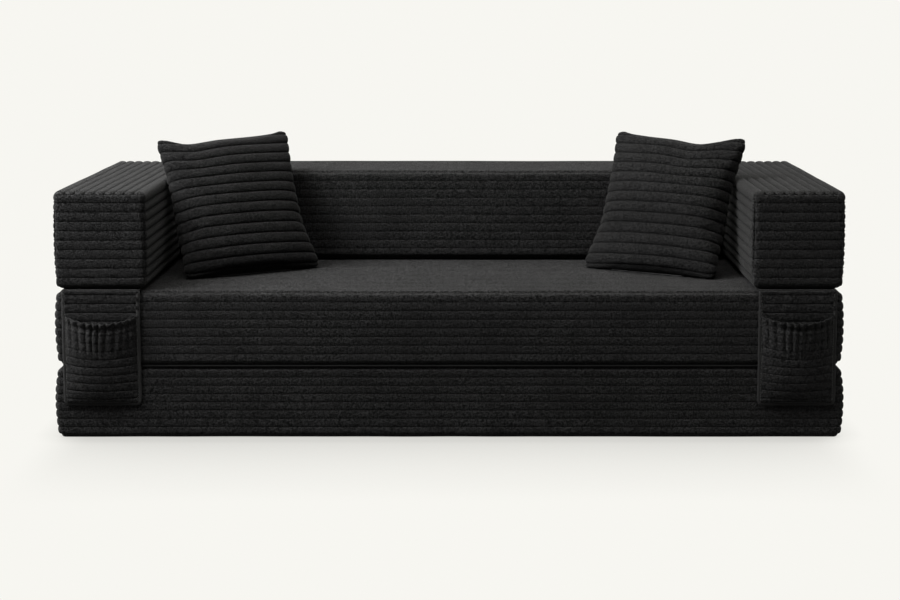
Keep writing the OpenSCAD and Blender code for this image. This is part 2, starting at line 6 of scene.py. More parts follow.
# %% Load the frame
import math
import bpy
import bmesh
import numpy as np
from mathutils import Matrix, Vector


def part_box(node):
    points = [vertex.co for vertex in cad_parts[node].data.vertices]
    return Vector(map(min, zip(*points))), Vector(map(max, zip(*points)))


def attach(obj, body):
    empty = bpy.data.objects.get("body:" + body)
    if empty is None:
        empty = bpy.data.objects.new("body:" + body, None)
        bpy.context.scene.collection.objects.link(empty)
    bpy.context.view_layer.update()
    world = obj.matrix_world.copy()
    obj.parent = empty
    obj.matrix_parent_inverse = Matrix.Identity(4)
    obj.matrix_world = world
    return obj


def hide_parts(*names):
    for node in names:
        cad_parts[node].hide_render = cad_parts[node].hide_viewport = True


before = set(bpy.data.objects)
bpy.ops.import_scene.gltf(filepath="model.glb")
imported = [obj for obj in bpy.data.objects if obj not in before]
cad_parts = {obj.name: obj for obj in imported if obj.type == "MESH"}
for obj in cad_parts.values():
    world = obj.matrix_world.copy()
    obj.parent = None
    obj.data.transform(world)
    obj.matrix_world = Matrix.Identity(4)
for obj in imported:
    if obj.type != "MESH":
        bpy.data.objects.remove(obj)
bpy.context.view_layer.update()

# %% [markdown]
# The photograph looks straight at the front from 4.5 m away and 1.1 m up. Its upright edges stay
# parallel, so part of the downward look is a lens shift and part is tilt. A large shift would push
# the object out of other views, so the shift is small and the tilt does the rest.

# %% Camera
FRONT_Y = -0.42
VIEW_FAR, VIEW_HIGH, VIEW_SIDE, TILT = 4.5, 1.112, 0.0688, math.radians(6.79)
LENS_PX, ACROSS_PX, SHIFT_PX, FRAME_PX, SENSOR = 1832, 27, 90, 900, 36


def put_in_scene(name, data):
    thing = bpy.data.objects.new(name, data)
    bpy.context.scene.collection.objects.link(thing)
    return thing


lens_data = bpy.data.cameras.new("Camera")
lens_data.sensor_width = SENSOR
lens_data.lens = LENS_PX / FRAME_PX * SENSOR
lens_data.shift_x = -ACROSS_PX / FRAME_PX
lens_data.shift_y = -SHIFT_PX / FRAME_PX
camera = put_in_scene("Camera", lens_data)
camera.location = (VIEW_SIDE, FRONT_Y - VIEW_FAR, VIEW_HIGH)
camera.rotation_euler = (math.pi / 2 - TILT, 0, 0)
bpy.context.scene.camera = camera
print("lens", round(lens_data.lens, 1), "mm, tilt", round(math.degrees(TILT), 1), "degrees")

# %% [markdown]
# Shader and geometry sums are easier to read as Python expressions. One small class wraps a
# socket: a plus or a times sign adds its Math node, and one method makes any other node.

# %% Sockets that take sums
class Wire:
    """An output socket of a node tree, or the tree alone where the socket is None."""

    def __init__(self, tree, socket=None):
        self.tree, self.socket = tree, socket

    def make(self, kind, settings=None, sockets=None, out=0):
        """One node: its type, its settings, which are set first, and its sockets' values or links."""
        node = self.tree.nodes.new(kind)
        for name, value in (settings or {}).items():
            setattr(node, name, value)
        for name, value in (sockets or {}).items():
            if isinstance(value, Wire):
                value.feed(node, name)
            else:
                node.inputs[name].default_value = value
        return Wire(self.tree, node.outputs[out])

    def feed(self, node, name):
        self.tree.links.new(self.socket, node.inputs[name])

    def math(self, operation, *values):
        return self.make("ShaderNodeMath", {"operation": operation}, dict(enumerate(values)))

    def __add__(self, other): return self.math("ADD", self, other)
    def __radd__(self, other): return self.math("ADD", other, self)
    def __sub__(self, other): return self.math("SUBTRACT", self, other)
    def __rsub__(self, other): return self.math("SUBTRACT", other, self)
    def __mul__(self, other): return self.math("MULTIPLY", self, other)
    def __rmul__(self, other): return self.math("MULTIPLY", other, self)
    def __pow__(self, other): return self.math("POWER", self, other)


print("a wrapped socket takes plus, minus, times and power")

# %% [markdown]
# A finish is one material. What its surface needs comes up again and again: a mix of two colours, a
# height for the light to catch, a noise that stays on the piece, and a soft step from 0 to 1.

# %% Helpers for finishes
def finish(name, colour, roughness, **constants):
    """A material with its constants on the shader's own sockets, the tree and the shader."""
    material = bpy.data.materials.new(name)
    material.use_nodes = True
    tree = material.node_tree
    shader = tree.nodes["Principled BSDF"]
    shader.inputs["Base Color"].default_value = (*colour, 1)
    shader.inputs["Roughness"].default_value = roughness
    for socket, value in constants.items():
        shader.inputs[socket.replace("_", " ")].default_value = value
    return material, Wire(tree), shader


def blend_colours(wire, mask, low, high):
    """One colour where the mask is 0 and another where it is 1."""
    return wire.make("ShaderNodeMix", {"data_type": "RGBA"},
                     {0: mask, 6: (*low, 1), 7: (*high, 1)}, out=2)


def raise_by(wire, shader, height, distance, strength):
    """Feeds a height to the shader's normal through a Bump node."""
    wire.make("ShaderNodeBump", {}, {"Strength": strength, "Distance": distance,
                                     "Height": height}).feed(shader, "Normal")


def place_on(wire):
    """The place on the piece itself, so that a pattern moves with the piece."""
    return wire.make("ShaderNodeTexCoord", out="Object")


def axes_of(wire, vector):
    split = wire.make("ShaderNodeSeparateXYZ", {}, {0: vector}).socket.node
    return [Wire(wire.tree, out) for out in split.outputs]


def noise(wire, place, scale, detail=2.0, **more):
    return wire.make("ShaderNodeTexNoise", {}, {"Vector": place, "Scale": scale, "Detail": detail,
                                                **more})


def eased(wire, value, low, high):
    """0 at low, 1 at high and a smooth step between."""
    return wire.make("ShaderNodeMapRange", {"interpolation_type": "SMOOTHSTEP"},
                     {0: value, 1: low, 2: high})

# %% [markdown]
# The studio is a white room. Its walls have the photograph's background tone, and its ceiling is
# brighter above the left, so the tops are lit well, the fronts little, and faces towards the left
# more than those towards the right. The floor is a light table: it glows as bright as the walls.
# A large lamp high on the left is near enough for its light to fade towards the right.
# As in a cleared product photograph, only a band before the sofa is in soft shadow, and a thin
# line where it stands.

# %% Floor and surroundings
WALL, KEY, KEY_WAY = (0.930, 0.922, 0.880), 21.0, Vector((-0.18, 0.0, 0.97))
SHADOW_REACH, SHADOW_TONE = 0.60, 0.50
LINE_REACH, LINE_TONE = 0.07, 0.45
LAMP_AT, LAMP_AIM = Vector((-1.95, -0.82, 2.15)), Vector((0, 0, 0.4))
bpy.context.scene.view_settings.view_transform = "Standard"
world = bpy.data.worlds.new("Studio")
bpy.context.scene.world = world
world.use_nodes = True
sky = Wire(world.node_tree)
way = sky.make("ShaderNodeTexCoord", out=0)
facing_key = sky.make("ShaderNodeVectorMath", {"operation": "DOT_PRODUCT"},
                      {0: way, 1: KEY_WAY.normalized()}, out=1)
panel = world.node_tree.nodes["Background"]
panel.inputs["Color"].default_value = (*WALL, 1)
(1 + KEY * eased(sky, facing_key, 0.66, 0.98)).feed(panel, "Strength")

table, wire, shader = finish("pale floor with painted shadow", (0, 0, 0), 1.0, Specular_IOR_Level=0.0,
                             Emission_Strength=1.0)
# Painted shadow: ambient occlusion darkens the floor's glow colour, wide in a band before the sofa and
# thin where it stands.
wide, close = (wire.make("ShaderNodeAmbientOcclusion", {"samples": 12}, {"Distance": reach}, out=1)
               for reach in (SHADOW_REACH, LINE_REACH))
x, y, z = axes_of(wire, place_on(wire))
before, beside = eased(wire, y, -0.37, -0.46), eased(wire, x * x, 1.08, 0.80)
lit = 1 - (1 - wide) * before * beside - (1 - close) * LINE_TONE
blend_colours(wire, lit, [v * SHADOW_TONE for v in WALL], WALL).feed(shader, "Emission Color")
floor_mesh = bpy.data.meshes.new("studio_floor")
floor_mesh.from_pydata([(-80, -40, 0), (80, -40, 0), (80, 200, 0), (-80, 200, 0)], [],
                       [(0, 1, 2, 3)])
floor = put_in_scene("studio_floor", floor_mesh)
floor_mesh.materials.append(table)
lamp_data = bpy.data.lights.new("left_lamp", "AREA")
lamp_data.energy, lamp_data.size = 600.0, 1.5
lamp = put_in_scene("left_lamp", lamp_data)
lamp.location = LAMP_AT
lamp.rotation_euler = (LAMP_AIM - LAMP_AT).to_track_quat("-Z", "Y").to_euler()
print("walls and floor", WALL, "with a shadow of", SHADOW_REACH, "m before the sofa")

# %% [markdown]
# The corduroy is a plush: short black pile stands on each rib. Seen from the side the pile tips catch
# the light, which is what sheen is for. The pile is uneven, so fine noise lifts single tufts; the same
# noise gives them a random tone and lightens the raised ones, a painted sheen. The grooves between the
# ribs and the seams are darkened as painted shade. The attribute called rib_light, which the ribs'
# tree below writes, is 0 in a groove and 1 on a crest.

# %% Corduroy
# The two ends of the corduroy's colour: the tufts' random tone, painted sheen and painted groove shade
# all lie between them.
PILE_DARK, PILE_LIGHT = (0.0003, 0.0003, 0.0003), (0.0071, 0.0071, 0.0072)


def corduroy_finish(name, shade=1.0, sheen=0.021):
    material, wire, shader = finish(
        name, (0.0025, 0.0025, 0.0025), 0.95, Sheen_Weight=sheen, Sheen_Roughness=0.45,
        Sheen_Tint=(0.58, 0.58, 0.58, 1), Specular_IOR_Level=0.013)
    place = place_on(wire)
    # Painted shade: the grooves and seams darken the colour.
    groove_shade = 1 - wire.make("ShaderNodeAttribute", {"attribute_name": "rib_light"}, out=2)
    tufts, clumps, drift = (noise(wire, place, 420.0), noise(wire, place, 210.0, 1.0),
                            noise(wire, place, 9.0))
    # A random tone of the tufts, lighter where the bump raises them: partly painted sheen.
    tuft_tone_and_sheen = wire.make("ShaderNodeMapRange", {}, {0: tufts * 0.6 + clumps * 0.4, 1: 0.41, 2: 0.65})
    tone = tuft_tone_and_sheen * (1 - 0.8 * groove_shade * groove_shade) * (0.6 + 0.8 * drift)
    blend_colours(wire, tone, [v * shade for v in PILE_DARK],
                  [v * shade for v in PILE_LIGHT]).feed(shader, "Base Color")
    raise_by(wire, shader, tufts * 0.5 + clumps * 0.5, 0.0030, 0.9)
    return material


corduroy = corduroy_finish("black corduroy")
# Painted shade: the cushions' copy of the corduroy is darker all over, with a lower sheen.
shaded_corduroy = corduroy_finish("black corduroy of the cushions", 0.66, 0.014)
print("finishes:", corduroy.name, "and", shaded_corduroy.name)

# %% [markdown]
# The trim is woven: linings, tapes and bindings. A weave is threads over and under each other, so
# two sines in object coordinates, one along X and one across it, give its height. The same height
# darkens the gaps and lightens the raised threads, painted shade and painted light. A noise keeps the
# rows from looking printed.

# %% Woven trim
def woven_finish(name, low, high, blue, pitch, roughness, relief, gloss):
    """low is the painted shade between the threads, high the threads' own colour, with its own blue.
    """
    material, wire, shader = finish(name, (high, high, blue), roughness, Specular_IOR_Level=gloss,
                                    Sheen_Weight=gloss / 5)
    place = place_on(wire)
    x, y, z = axes_of(wire, place)
    turn = 2 * math.pi / pitch
    warp, weft = (0.5 + 0.5 * wire.math("SINE", row * turn) for row in (x, y + z))
    height = warp * weft * 0.7 + noise(wire, place, 300.0) * 0.3
    # Painted shade in the gaps and painted light on the raised threads, varied by a random tone.
    blend_colours(wire, height * (0.5 + noise(wire, place, 14.0)), (low, low, low),
                  (high, high, blue)).feed(shader, "Base Color")
    raise_by(wire, shader, height, relief, 0.7)
    return material


# The fold cloth is darker than the other trim: painted shade for the gaps and hems it sits in.
lining_cloth, shaded_fold_cloth, binding, trim_tape, thread = (woven_finish(*row) for row in (
    ("black lining cloth", 0.0015, 0.0075, 0.0080, 0.0011, 0.62, 0.0004, 0.2),
    ("dark fold cloth", 0.0005, 0.0022, 0.0022, 0.0013, 0.9, 0.0003, 0.03),
    ("black binding tape", 0.0008, 0.0080, 0.0081, 0.0030, 0.9, 0.0008, 0.05),
    ("black woven tape", 0.0022, 0.0110, 0.0112, 0.0016, 0.8, 0.0006, 0.1),
    ("black sewing thread", 0.002, 0.010, 0.010, 0.0005, 0.45, 0.0002, 0.4)))
print("finishes:", lining_cloth.name, "to", thread.name)

# %% [markdown]
# Inside, the blocks are cut from open-cell foam and the cushions hold loose polyester fibre. Foam
# is a field of small cells, so a Voronoi pattern pits it. Fibre is a tangle without cells, so it
# gets stretched noise. The same pattern darkens the hollows as painted shade, mixed with a random
# tone.
# The zips' teeth and sliders are dark metal with fine handling marks.

# %% Foam, fibre and metal
def pitted_finish(name, colour, cell, relief, tangle=False):
    material, wire, shader = finish(name, colour, 0.9, Specular_IOR_Level=0.1)
    place = place_on(wire)
    cells = noise(wire, place, 1 / cell, 3.0, Distortion=2.5) if tangle else \
        wire.make("ShaderNodeTexVoronoi", {}, {"Vector": place, "Scale": 1 / cell})
    # Painted shade: the hollows of the pattern are darker, with a random tone.
    tone = cells * 0.5 + noise(wire, place, 5.0, 3.0) * 0.6
    blend_colours(wire, tone, [v * 0.62 for v in colour], colour).feed(shader, "Base Color")
    raise_by(wire, shader, cells, relief, 0.6)
    return material


def metal_finish(name, colour):
    material, wire, shader = finish(name, colour, 0.35, Metallic=1.0)
    place = place_on(wire)
    worn = noise(wire, place, 120.0)
    (0.24 + 0.3 * worn).feed(shader, "Roughness")
    blend_colours(wire, worn * 1.2, colour,
                  [min(1, v * 1.9) for v in colour]).feed(shader, "Base Color")
    raise_by(wire, shader, noise(wire, place, 900.0, 3.0), 0.00006, 0.4)
    return material


cut_foam = pitted_finish("pale cut foam", (0.60, 0.55, 0.40), 0.0022, 0.0007)
fibre = pitted_finish("polyester fibre", (0.72, 0.72, 0.70), 0.009, 0.003, True)
dark_metal = metal_finish("dark zip metal", (0.060, 0.060, 0.064))
print("finishes:", len(bpy.data.materials))

# %% [markdown]
# Each block is a closed skin over a rounded box. Its grid lines follow the ribs, so that every
# groove has its own line of points. A station is a place along one axis: its coordinate on the
# inner box, the tangent of its angle round the edge, and the count of ribs up to it.

# %% Stations along an axis
EDGE_R, RIB_P = 0.0175, 0.023
ARC = np.tan(np.radians([9, 18, 27, 36, 45]))
RIB_STEPS = {8: (0, 0.17, 0.33, 0.44, 0.5, 0.56, 0.67, 0.83), 6: (0, 0.24, 0.42, 0.5, 0.58, 0.76)}


def stations(low, high, ribs=0, steps=8, plain=0.025, arcs=(ARC, ARC)):
    """Rows of (coordinate, tangent, count of ribs) from one face of a block to the other."""
    inner = high - low - 2 * EDGE_R
    parts = max(1, round(inner / plain))
    flat = [(i + f, ribs) for i in range(ribs) for f in RIB_STEPS[steps]] if ribs else \
        [(i, parts) for i in range(parts)]
    rows = [(low + EDGE_R, -t, 0) for t in arcs[0][::-1]]
    rows += [(low + EDGE_R + inner * i / n, 0, i if ribs else 0) for i, n in flat]
    rows += [(high - EDGE_R, t, ribs) for t in (0, *arcs[1])]
    return np.array(rows)


print("ribs", RIB_P * 1000, "mm apart, edges rounded to", EDGE_R * 1000, "mm")

# %% [markdown]
# The six faces share their borders: a point's direction from the inner box depends only on its two
# tangents, so neighbouring faces meet at 45 degrees. A face says which axis counts its ribs, and
# whether they fade where they meet the seam of another panel. A hidden flat face needs no grid, so
# its middle is one polygon.

# %% Skin of a block
def smooth(value, low, high):
    """0 below low, 1 above high, and a smooth step between."""
    t = np.clip((value - low) / (high - low), 0, 1)
    return t * t * (3 - 2 * t)


def grid_of(shape):
    """The indices of a grid's points, and its quads as an array of four indices each."""
    index = np.arange(shape[0] * shape[1]).reshape(shape)
    return index, np.stack([index[:-1, :-1], index[1:, :-1], index[1:, 1:], index[:-1, 1:]], -1)


def grid_part(points, count, mask, seam):
    """A grid of points with its three attributes and its quads, ready to be welded."""
    return [points, count, mask, seam, grid_of(count.shape)[1].reshape(-1, 4).tolist()]


def seam_share(rows):
    """1 at both ends of a row of stations, where seams may be, and 0 on its flat part."""
    t = rows[:, 1]
    return smooth(t, 0.4 * t[-1], t[-1]) + smooth(-t, -0.4 * t[0], -t[0])


def block_face(rows, lows, highs, axis, sign, ribs_by, fades, plain, panels=None):
    """Points, attributes and polygons of one face. panels is the axis whose faces are sewn in."""
    u, v = [a for a in range(3) if a != axis]
    a, b = rows[u], rows[v]
    shape = (len(a), len(b))
    inner, way = np.zeros((*shape, 3)), np.zeros((*shape, 3))
    inner[..., u], inner[..., v] = a[:, None, 0], b[None, :, 0]
    inner[..., axis] = highs[axis] - EDGE_R if sign > 0 else lows[axis] + EDGE_R
    way[..., u], way[..., v], way[..., axis] = a[:, None, 1], b[None, :, 1], sign
    way /= np.linalg.norm(way, axis=2, keepdims=True)
    points = inner + EDGE_R * way
    count, mask = np.zeros(shape), np.zeros(shape)
    if ribs_by is not None:
        along = v if ribs_by == u else u
        count[:] = a[:, None, 2] if ribs_by == u else b[None, :, 2]
        lean = np.abs(way[..., along]) * np.ones(shape)
        mask[:] = 1 - smooth(lean, 0.4, 0.69) if fades else 1
    seam = np.maximum(seam_share(a)[:, None] * (panels in (axis, u)),
                      seam_share(b)[None, :] * (panels in (axis, v)))
    if not plain:
        return grid_part(points, count, mask, seam)
    index, quads = grid_of(shape)
    (u0, u1), (v0, v1) = ((len(ARC), len(r) - len(ARC) - 1) for r in (a, b))
    keep = np.ones(quads.shape[:2], bool)
    keep[u0:u1, v0:v1] = False
    ring = [*index[u0:u1 + 1, v0], *index[u1, v0 + 1:v1 + 1], *index[u0:u1, v1][::-1],
            *index[u0, v0 + 1:v1][::-1]]
    return [points, count, mask, seam, quads[keep].tolist() + [[int(i) for i in ring]]]


def weld(name, parts):
    """One mesh of the faces' parts, with the points on shared borders joined."""
    points = np.concatenate([p[0].reshape(-1, 3) for p in parts])
    values = [np.concatenate([p[i].reshape(-1) for p in parts]) for i in (1, 2, 3)]
    _, first, joined = np.unique(np.round(points * 1e5).astype(np.int64), axis=0,
                                 return_index=True, return_inverse=True)
    joined = joined.reshape(-1)
    starts = np.cumsum([0] + [p[1].size for p in parts])
    polygons = [[int(joined[i + start]) for i in poly]
                for p, start in zip(parts, starts) for poly in p[4]]
    polygons = [[i for k, i in enumerate(poly) if i != poly[k - 1]] for poly in polygons]
    mesh = bpy.data.meshes.new(name)
    mesh.from_pydata(points[first].tolist(), [], [p for p in polygons if len(p) > 2])
    for key, value in zip(("rib_count", "rib_mask", "seam"), values):
        mesh.attributes.new(key, "FLOAT", "POINT").data.foreach_set("value", value[first])
    return mesh


def tidy(mesh):
    """Joins doubles, drops loose points and turns the faces outwards."""
    work = bmesh.new()
    work.from_mesh(mesh)
    bmesh.ops.remove_doubles(work, verts=work.verts, dist=1e-6)
    bmesh.ops.delete(work, geom=[v for v in work.verts if not v.link_faces], context="VERTS")
    bmesh.ops.recalc_face_normals(work, faces=work.faces)
    if work.calc_volume(signed=True) < 0:
        bmesh.ops.reverse_faces(work, faces=work.faces)
    work.to_mesh(mesh)
    work.free()
    mesh.shade_smooth()
    return mesh

# %% [markdown]
# Ribs follow a rule, so a Geometry Nodes tree makes them. It reads the count of ribs at each point,
# finds how far the point is from the nearest crest, and lowers it along the normal. A slow noise
# then lets the cloth wander a little, as sewn cloth does, and the seams are drawn in. It also
# writes an attribute that the finish uses to paint shade into the grooves and seams.

# %% Tree of the ribs
def new_tree(name, **inputs):
    """A geometry tree with named inputs, its Wire and the inputs as Wires."""
    tree = bpy.data.node_groups.new(name, "GeometryNodeTree")
    for way in ("INPUT", "OUTPUT"):
        tree.interface.new_socket("Geometry", in_out=way, socket_type="NodeSocketGeometry")
    for label, default in inputs.items():
        kind = "Vector" if isinstance(default, tuple) else "Float"
        tree.interface.new_socket(label.replace("_", " "), in_out="INPUT",
                                  socket_type="NodeSocket" + kind).default_value = default
    tree.interface.new_socket("Material", in_out="INPUT", socket_type="NodeSocketMaterial")
    entry = tree.nodes.new("NodeGroupInput")
    return Wire(tree), {s.name: Wire(tree, s) for s in entry.outputs if s.name}


def end_tree(wire, geometry, material):
    """Realises the instances, gives them their material and closes the tree."""
    real = wire.make("GeometryNodeRealizeInstances", {}, {"Geometry": geometry})
    dressed = wire.make("GeometryNodeSetMaterial", {}, {"Geometry": real, "Material": material})
    dressed.feed(wire.tree.nodes.new("NodeGroupOutput"), 0)
    return wire.tree


def named(wire, name):
    return wire.make("GeometryNodeInputNamedAttribute", {"data_type": "FLOAT"}, {"Name": name})


def scaled(wire, vector, by):
    return wire.make("ShaderNodeVectorMath", {"operation": "SCALE"}, {0: vector, "Scale": by})


def rib_tree():
    wire, ask = new_tree("Corduroy ribs", Rib_height=0.004, Wander=0.0015, Wander_scale=4.0,
                         Seam_depth=0.002, Seed=1.0, Flatness=2.6)
    count, seam = named(wire, "rib_count"), named(wire, "seam")
    off = wire.math("ABSOLUTE", count - wire.math("ROUND", count))
    profile = (1 - (off * 2) ** ask["Flatness"]) ** 0.5
    lowered = (1 - profile) * named(wire, "rib_mask")
    # Painted shade: this value falls in a groove and along a seam, and the finish darkens the cloth
    # there.
    rib_light = 1 - lowered - seam * 0.3
    drop = lowered * ask["Rib height"] + seam * ask["Seam depth"]
    sink = scaled(wire, wire.make("GeometryNodeInputNormal"), 0 - drop)
    slow = wire.make("ShaderNodeTexNoise", {"noise_dimensions": "4D"}, {
        "Vector": wire.make("GeometryNodeInputPosition"), "W": ask["Seed"],
        "Scale": ask["Wander scale"], "Detail": 1.0}, out=1)
    centred = wire.make("ShaderNodeVectorMath", {"operation": "SUBTRACT"},
                        {0: slow, 1: (0.5, 0.5, 0.5)})
    stray = scaled(wire, centred, ask["Wander"] * 2)
    both = wire.make("ShaderNodeVectorMath", {"operation": "ADD"}, {0: sink, 1: stray})
    kept = wire.make("GeometryNodeStoreNamedAttribute", {"data_type": "FLOAT", "domain": "POINT"}, {
        "Geometry": ask["Geometry"], "Name": "rib_light", "Value": rib_light})
    moved = wire.make("GeometryNodeSetPosition", {}, {"Geometry": kept, "Offset": both})
    return end_tree(wire, moved, ask["Material"])


RIBS = rib_tree()
print("tree:", RIBS.name, "with", len(RIBS.nodes), "nodes")

# %% [markdown]
# A tree runs as a modifier, and the evaluated object is turned into a plain mesh, because only that
# is exported. Each piece then hides the construction solids it replaces, has its finish and hangs
# on the body it rides on.

# %% From a tree to a piece
def evaluated(thing):
    """The plain mesh of an object with its modifiers."""
    bpy.context.view_layer.update()
    graph = bpy.context.evaluated_depsgraph_get()
    return bpy.data.meshes.new_from_object(thing.evaluated_get(graph),
                                           preserve_all_data_layers=True, depsgraph=graph)


def grow(mesh, name, tree, **values):
    """Runs a tree on a mesh and returns the result as a plain object."""
    maker = put_in_scene(name + "_maker", mesh)
    modifier = maker.modifiers.new("tree", "NODES")
    modifier.node_group = tree
    for item in tree.interface.items_tree:
        key = item.name.replace(" ", "_").lower()
        if item.item_type == "SOCKET" and item.in_out == "INPUT" and key in values:
            modifier[item.identifier] = values[key]
    made = evaluated(maker)
    bpy.data.objects.remove(maker)
    made.name = name
    made.shade_smooth()
    print(name, "has", sum(len(p.vertices) - 2 for p in made.polygons), "triangles")
    return put_in_scene(name, made)


def settle(piece, slot, body, *nodes):
    """Hides the solids that a piece replaces and hangs it on its body; slot is not used."""
    if nodes:
        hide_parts(*nodes)
    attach(piece, body)
    return piece


def add_piece(mesh, name, material, slot, body, *nodes):
    """Links a finished mesh, gives it its finish and settles it."""
    mesh.name = name
    mesh.materials.clear()
    mesh.materials.append(material)
    return settle(put_in_scene(name, mesh), slot, body, *nodes)


def box_of(node):
    """The two corners of a construction solid, as lists that can be changed."""
    return [list(corner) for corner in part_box(node)]

# %% [markdown]
# A foam block isn't a perfect box. Its ribbed cover is tightest along the seams, so the faces
# belly out between them: the block is a little smaller at its top and bottom edges. Only the
# ends of the mattresses bulge a few millimetres past the construction's box.

# %% Shaping of a block
LINING_IN = 0.040


def points_of(mesh):
    co = np.empty(len(mesh.vertices) * 3)
    mesh.vertices.foreach_get("co", co)
    return co.reshape(-1, 3)


def belly(mesh, low, high, draw, ends=None, bulge=0.0):
    """Draws a block's sides in towards its top and bottom edges; its ends may bulge out."""
    co = points_of(mesh)
    centre, half = (np.array(low) + high) / 2, (np.array(high) - low) / 2
    q = (co[:, 2] - centre[2]) / half[2]
    for axis, pull, swell_by in ((0, ends or draw, bulge), (1, draw, 0)):
        inward = np.where(q > 0, pull[0], pull[1]) * np.abs(q) ** 2.5 - swell_by * (1 - q * q)
        side = (co[:, axis] - centre[axis]) / half[axis]
        co[:, axis] -= inward * smooth(np.abs(side), 0.4, 1) * np.sign(side)
    mesh.vertices.foreach_set("co", co.reshape(-1))


def square_up(mesh, low, level):
    """Makes the rounding of a front edge tighter where two blocks lie on each other."""
    co = points_of(mesh)
    deep = co[:, 1] - low[1]
    near = 1 - smooth(np.abs(co[:, 2] - level), EDGE_R * 0.85, EDGE_R * 1.5)
    tight = EDGE_R * (deep / EDGE_R).clip(0, 1) ** 2
    co[:, 1] += np.where((deep > 0) & (deep < EDGE_R), (tight - deep) * near, 0)
    mesh.vertices.foreach_set("co", co.reshape(-1))


def sink_windows(mesh, rim, deep):
    """Insets each large flat face by rim and sinks it, where a lining is sewn in."""
    work = bmesh.new()
    work.from_mesh(mesh)
    flat = [f for f in work.faces if len(f.verts) > 20]
    bmesh.ops.inset_individual(work, faces=flat, thickness=rim, depth=0)
    bmesh.ops.inset_individual(work, faces=flat, thickness=0.0005, depth=-deep)
    work.to_mesh(mesh)
    work.free()

# %% [markdown]
# A cover is welded from its faces. The plush is pressed smoother on the mattresses' fronts, so the
# ribs there are low, and an arm's ribs are high on its top and low on its inner side. At the rear
# the cloth steps in round the zip, and its ribs stop there.

# %% Covers of the blocks
WRAP_END, WRAP_STEPS = 28, (31, 35, 40, 45)
FRONT_RIBS, TEETH_RIBS, TOP_RIBS, INNER_RIBS = 0.36, 1.7, 1.3, 0.45
ZIP_HALF, ZIP_DEEP = 0.013, 0.005


def ribs_between(low, high, even=False):
    """Count of ribs that fit between two rounded edges."""
    span = (high - low - 0.032) / RIB_P
    return 2 * round(span / 2) if even else round(span)


def cover_mesh(name, low, high, faces, panels, top_steps, draw, zip_node, ends=None, bulge=0.0):
    """Skin of a ribbed block. faces gives each face's rib axis and whether its ribs fade."""
    rows = [stations(low[0], high[0]), stations(low[1], high[1]),
            stations(low[2], high[2], ribs_between(low[2], high[2]))]
    level = [f[0] for key, f in faces.items() if key[1] == 2 and f[0] is not None][0]
    rows[level] = stations(low[level], high[level],
                           ribs_between(low[level], high[level], True), top_steps)
    parts = []
    arm = (-1, 1) not in faces
    if arm:
        over = [(high[2] - EDGE_R, math.tan(math.radians(t)), 0) for t in (WRAP_END, *WRAP_STEPS)]
        teeth = block_face([rows[0], None, np.array(over)], low, high, 1, -1, 0, False, False)
        teeth[3][:] = smooth(-teeth[0][..., 2], 0.0065 - high[2], 0.0100 - high[2]) ** 2
        teeth[2][:] = TEETH_RIBS
        parts.append(teeth)
    for (sign, axis), (ribs_by, fades) in faces.items():
        part = block_face(rows, low, high, axis, sign, ribs_by, fades, ribs_by is None, panels)
        points = part[0]
        if (sign, axis) == (-1, 1):
            part[2] = part[2] * FRONT_RIBS
        if arm and (sign, axis) == (1, 2):
            part[2] = TOP_RIBS + 0.5 * smooth(low[1] + 0.036 - points[..., 1], 0, 0.030) - \
                0.9 * smooth(points[..., 1], high[1] - 0.04, high[1] - 0.008)
        if arm and axis == 0 and sign * low[0] < 0:
            part[2] = part[2] * INNER_RIBS
        if (sign, axis) == (1, 1):
            zip_low, zip_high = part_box(zip_node)
            middle, half_l = (zip_low.z + zip_high.z) / 2, (zip_high.x - zip_low.x) / 2
            slot = smooth(ZIP_HALF + 0.004 - np.abs(points[..., 2] - middle), 0, 0.004) * \
                smooth(half_l + 0.020 - np.abs(points[..., 0] - (low[0] + high[0]) / 2), 0, 0.01)
            points[..., 1] -= ZIP_DEEP * slot
            part[2] = part[2] * (1 - slot)
        parts.append(part)
    mesh = tidy(weld(name, parts))
    sink_windows(mesh, LINING_IN - EDGE_R, 0.0013)
    belly(mesh, low, high, draw, ends, bulge)
    return mesh


covers = {}


def add_cover(key, mesh, name, node, **sizes):
    """Grows the ribs on a cover, settles it and keeps it under its key."""
    cover = grow(mesh, name, RIBS, material=corduroy, **sizes)
    covers[key] = settle(cover, "corduroy", "base" if key == "base" else "sofa", node)


RIBBED, PLAIN, RIBBED_LEVEL = (2, False), (None, False), (1, True)
BED_FACES = {(-1, 0): RIBBED, (1, 0): RIBBED, (-1, 1): RIBBED, (1, 1): RIBBED}
for part, top, under, steps, draw, ends, bulge in (
        ("seat", RIBBED_LEVEL, PLAIN, 6, (0.003, 0.0008), (0.006, 0.007), 0.002),
        ("base", PLAIN, RIBBED_LEVEL, 6, (0.0008, -0.002), (0.006, 0.002), 0.006),
        ("back", RIBBED_LEVEL, PLAIN, 8, (0.002, 0.002), None, 0.0)):
    low, high = box_of(part + "_cover")
    name = part + "_cover_cloth"
    mesh = cover_mesh(name, low, high, {**BED_FACES, (1, 2): top, (-1, 2): under}, 2, steps, draw,
                      part + "_zip", ends, bulge)
    if part != "back":
        square_up(mesh, low, low[2] if part == "seat" else high[2])
    add_cover(part, mesh, name, part + "_cover", rib_height=0.0048, seam_depth=0.003, flatness=2.1,
              wander=0.0014, seed=float(len(covers)))

# %% [markdown]
# An arm's cloth runs over its top and sides from front to rear, and ends at each end in a panel.
# It wraps over the front edge, so the ribs end at the front panel's seam as a row of rounded teeth.
# So the arm is one skin that is split at the seam: the panel is the patch inside it, on its own
# thin pad, and lies a little deeper than the teeth.

# %% Arms and their front panels
ARM_FACES = {(-1, 0): RIBBED, (1, 0): RIBBED, (1, 1): RIBBED, (1, 2): (0, False), (-1, 2): PLAIN}
PANEL_T, PANEL_ROOM, PANEL_RIBS = 0.0178, 0.0182, 0.42


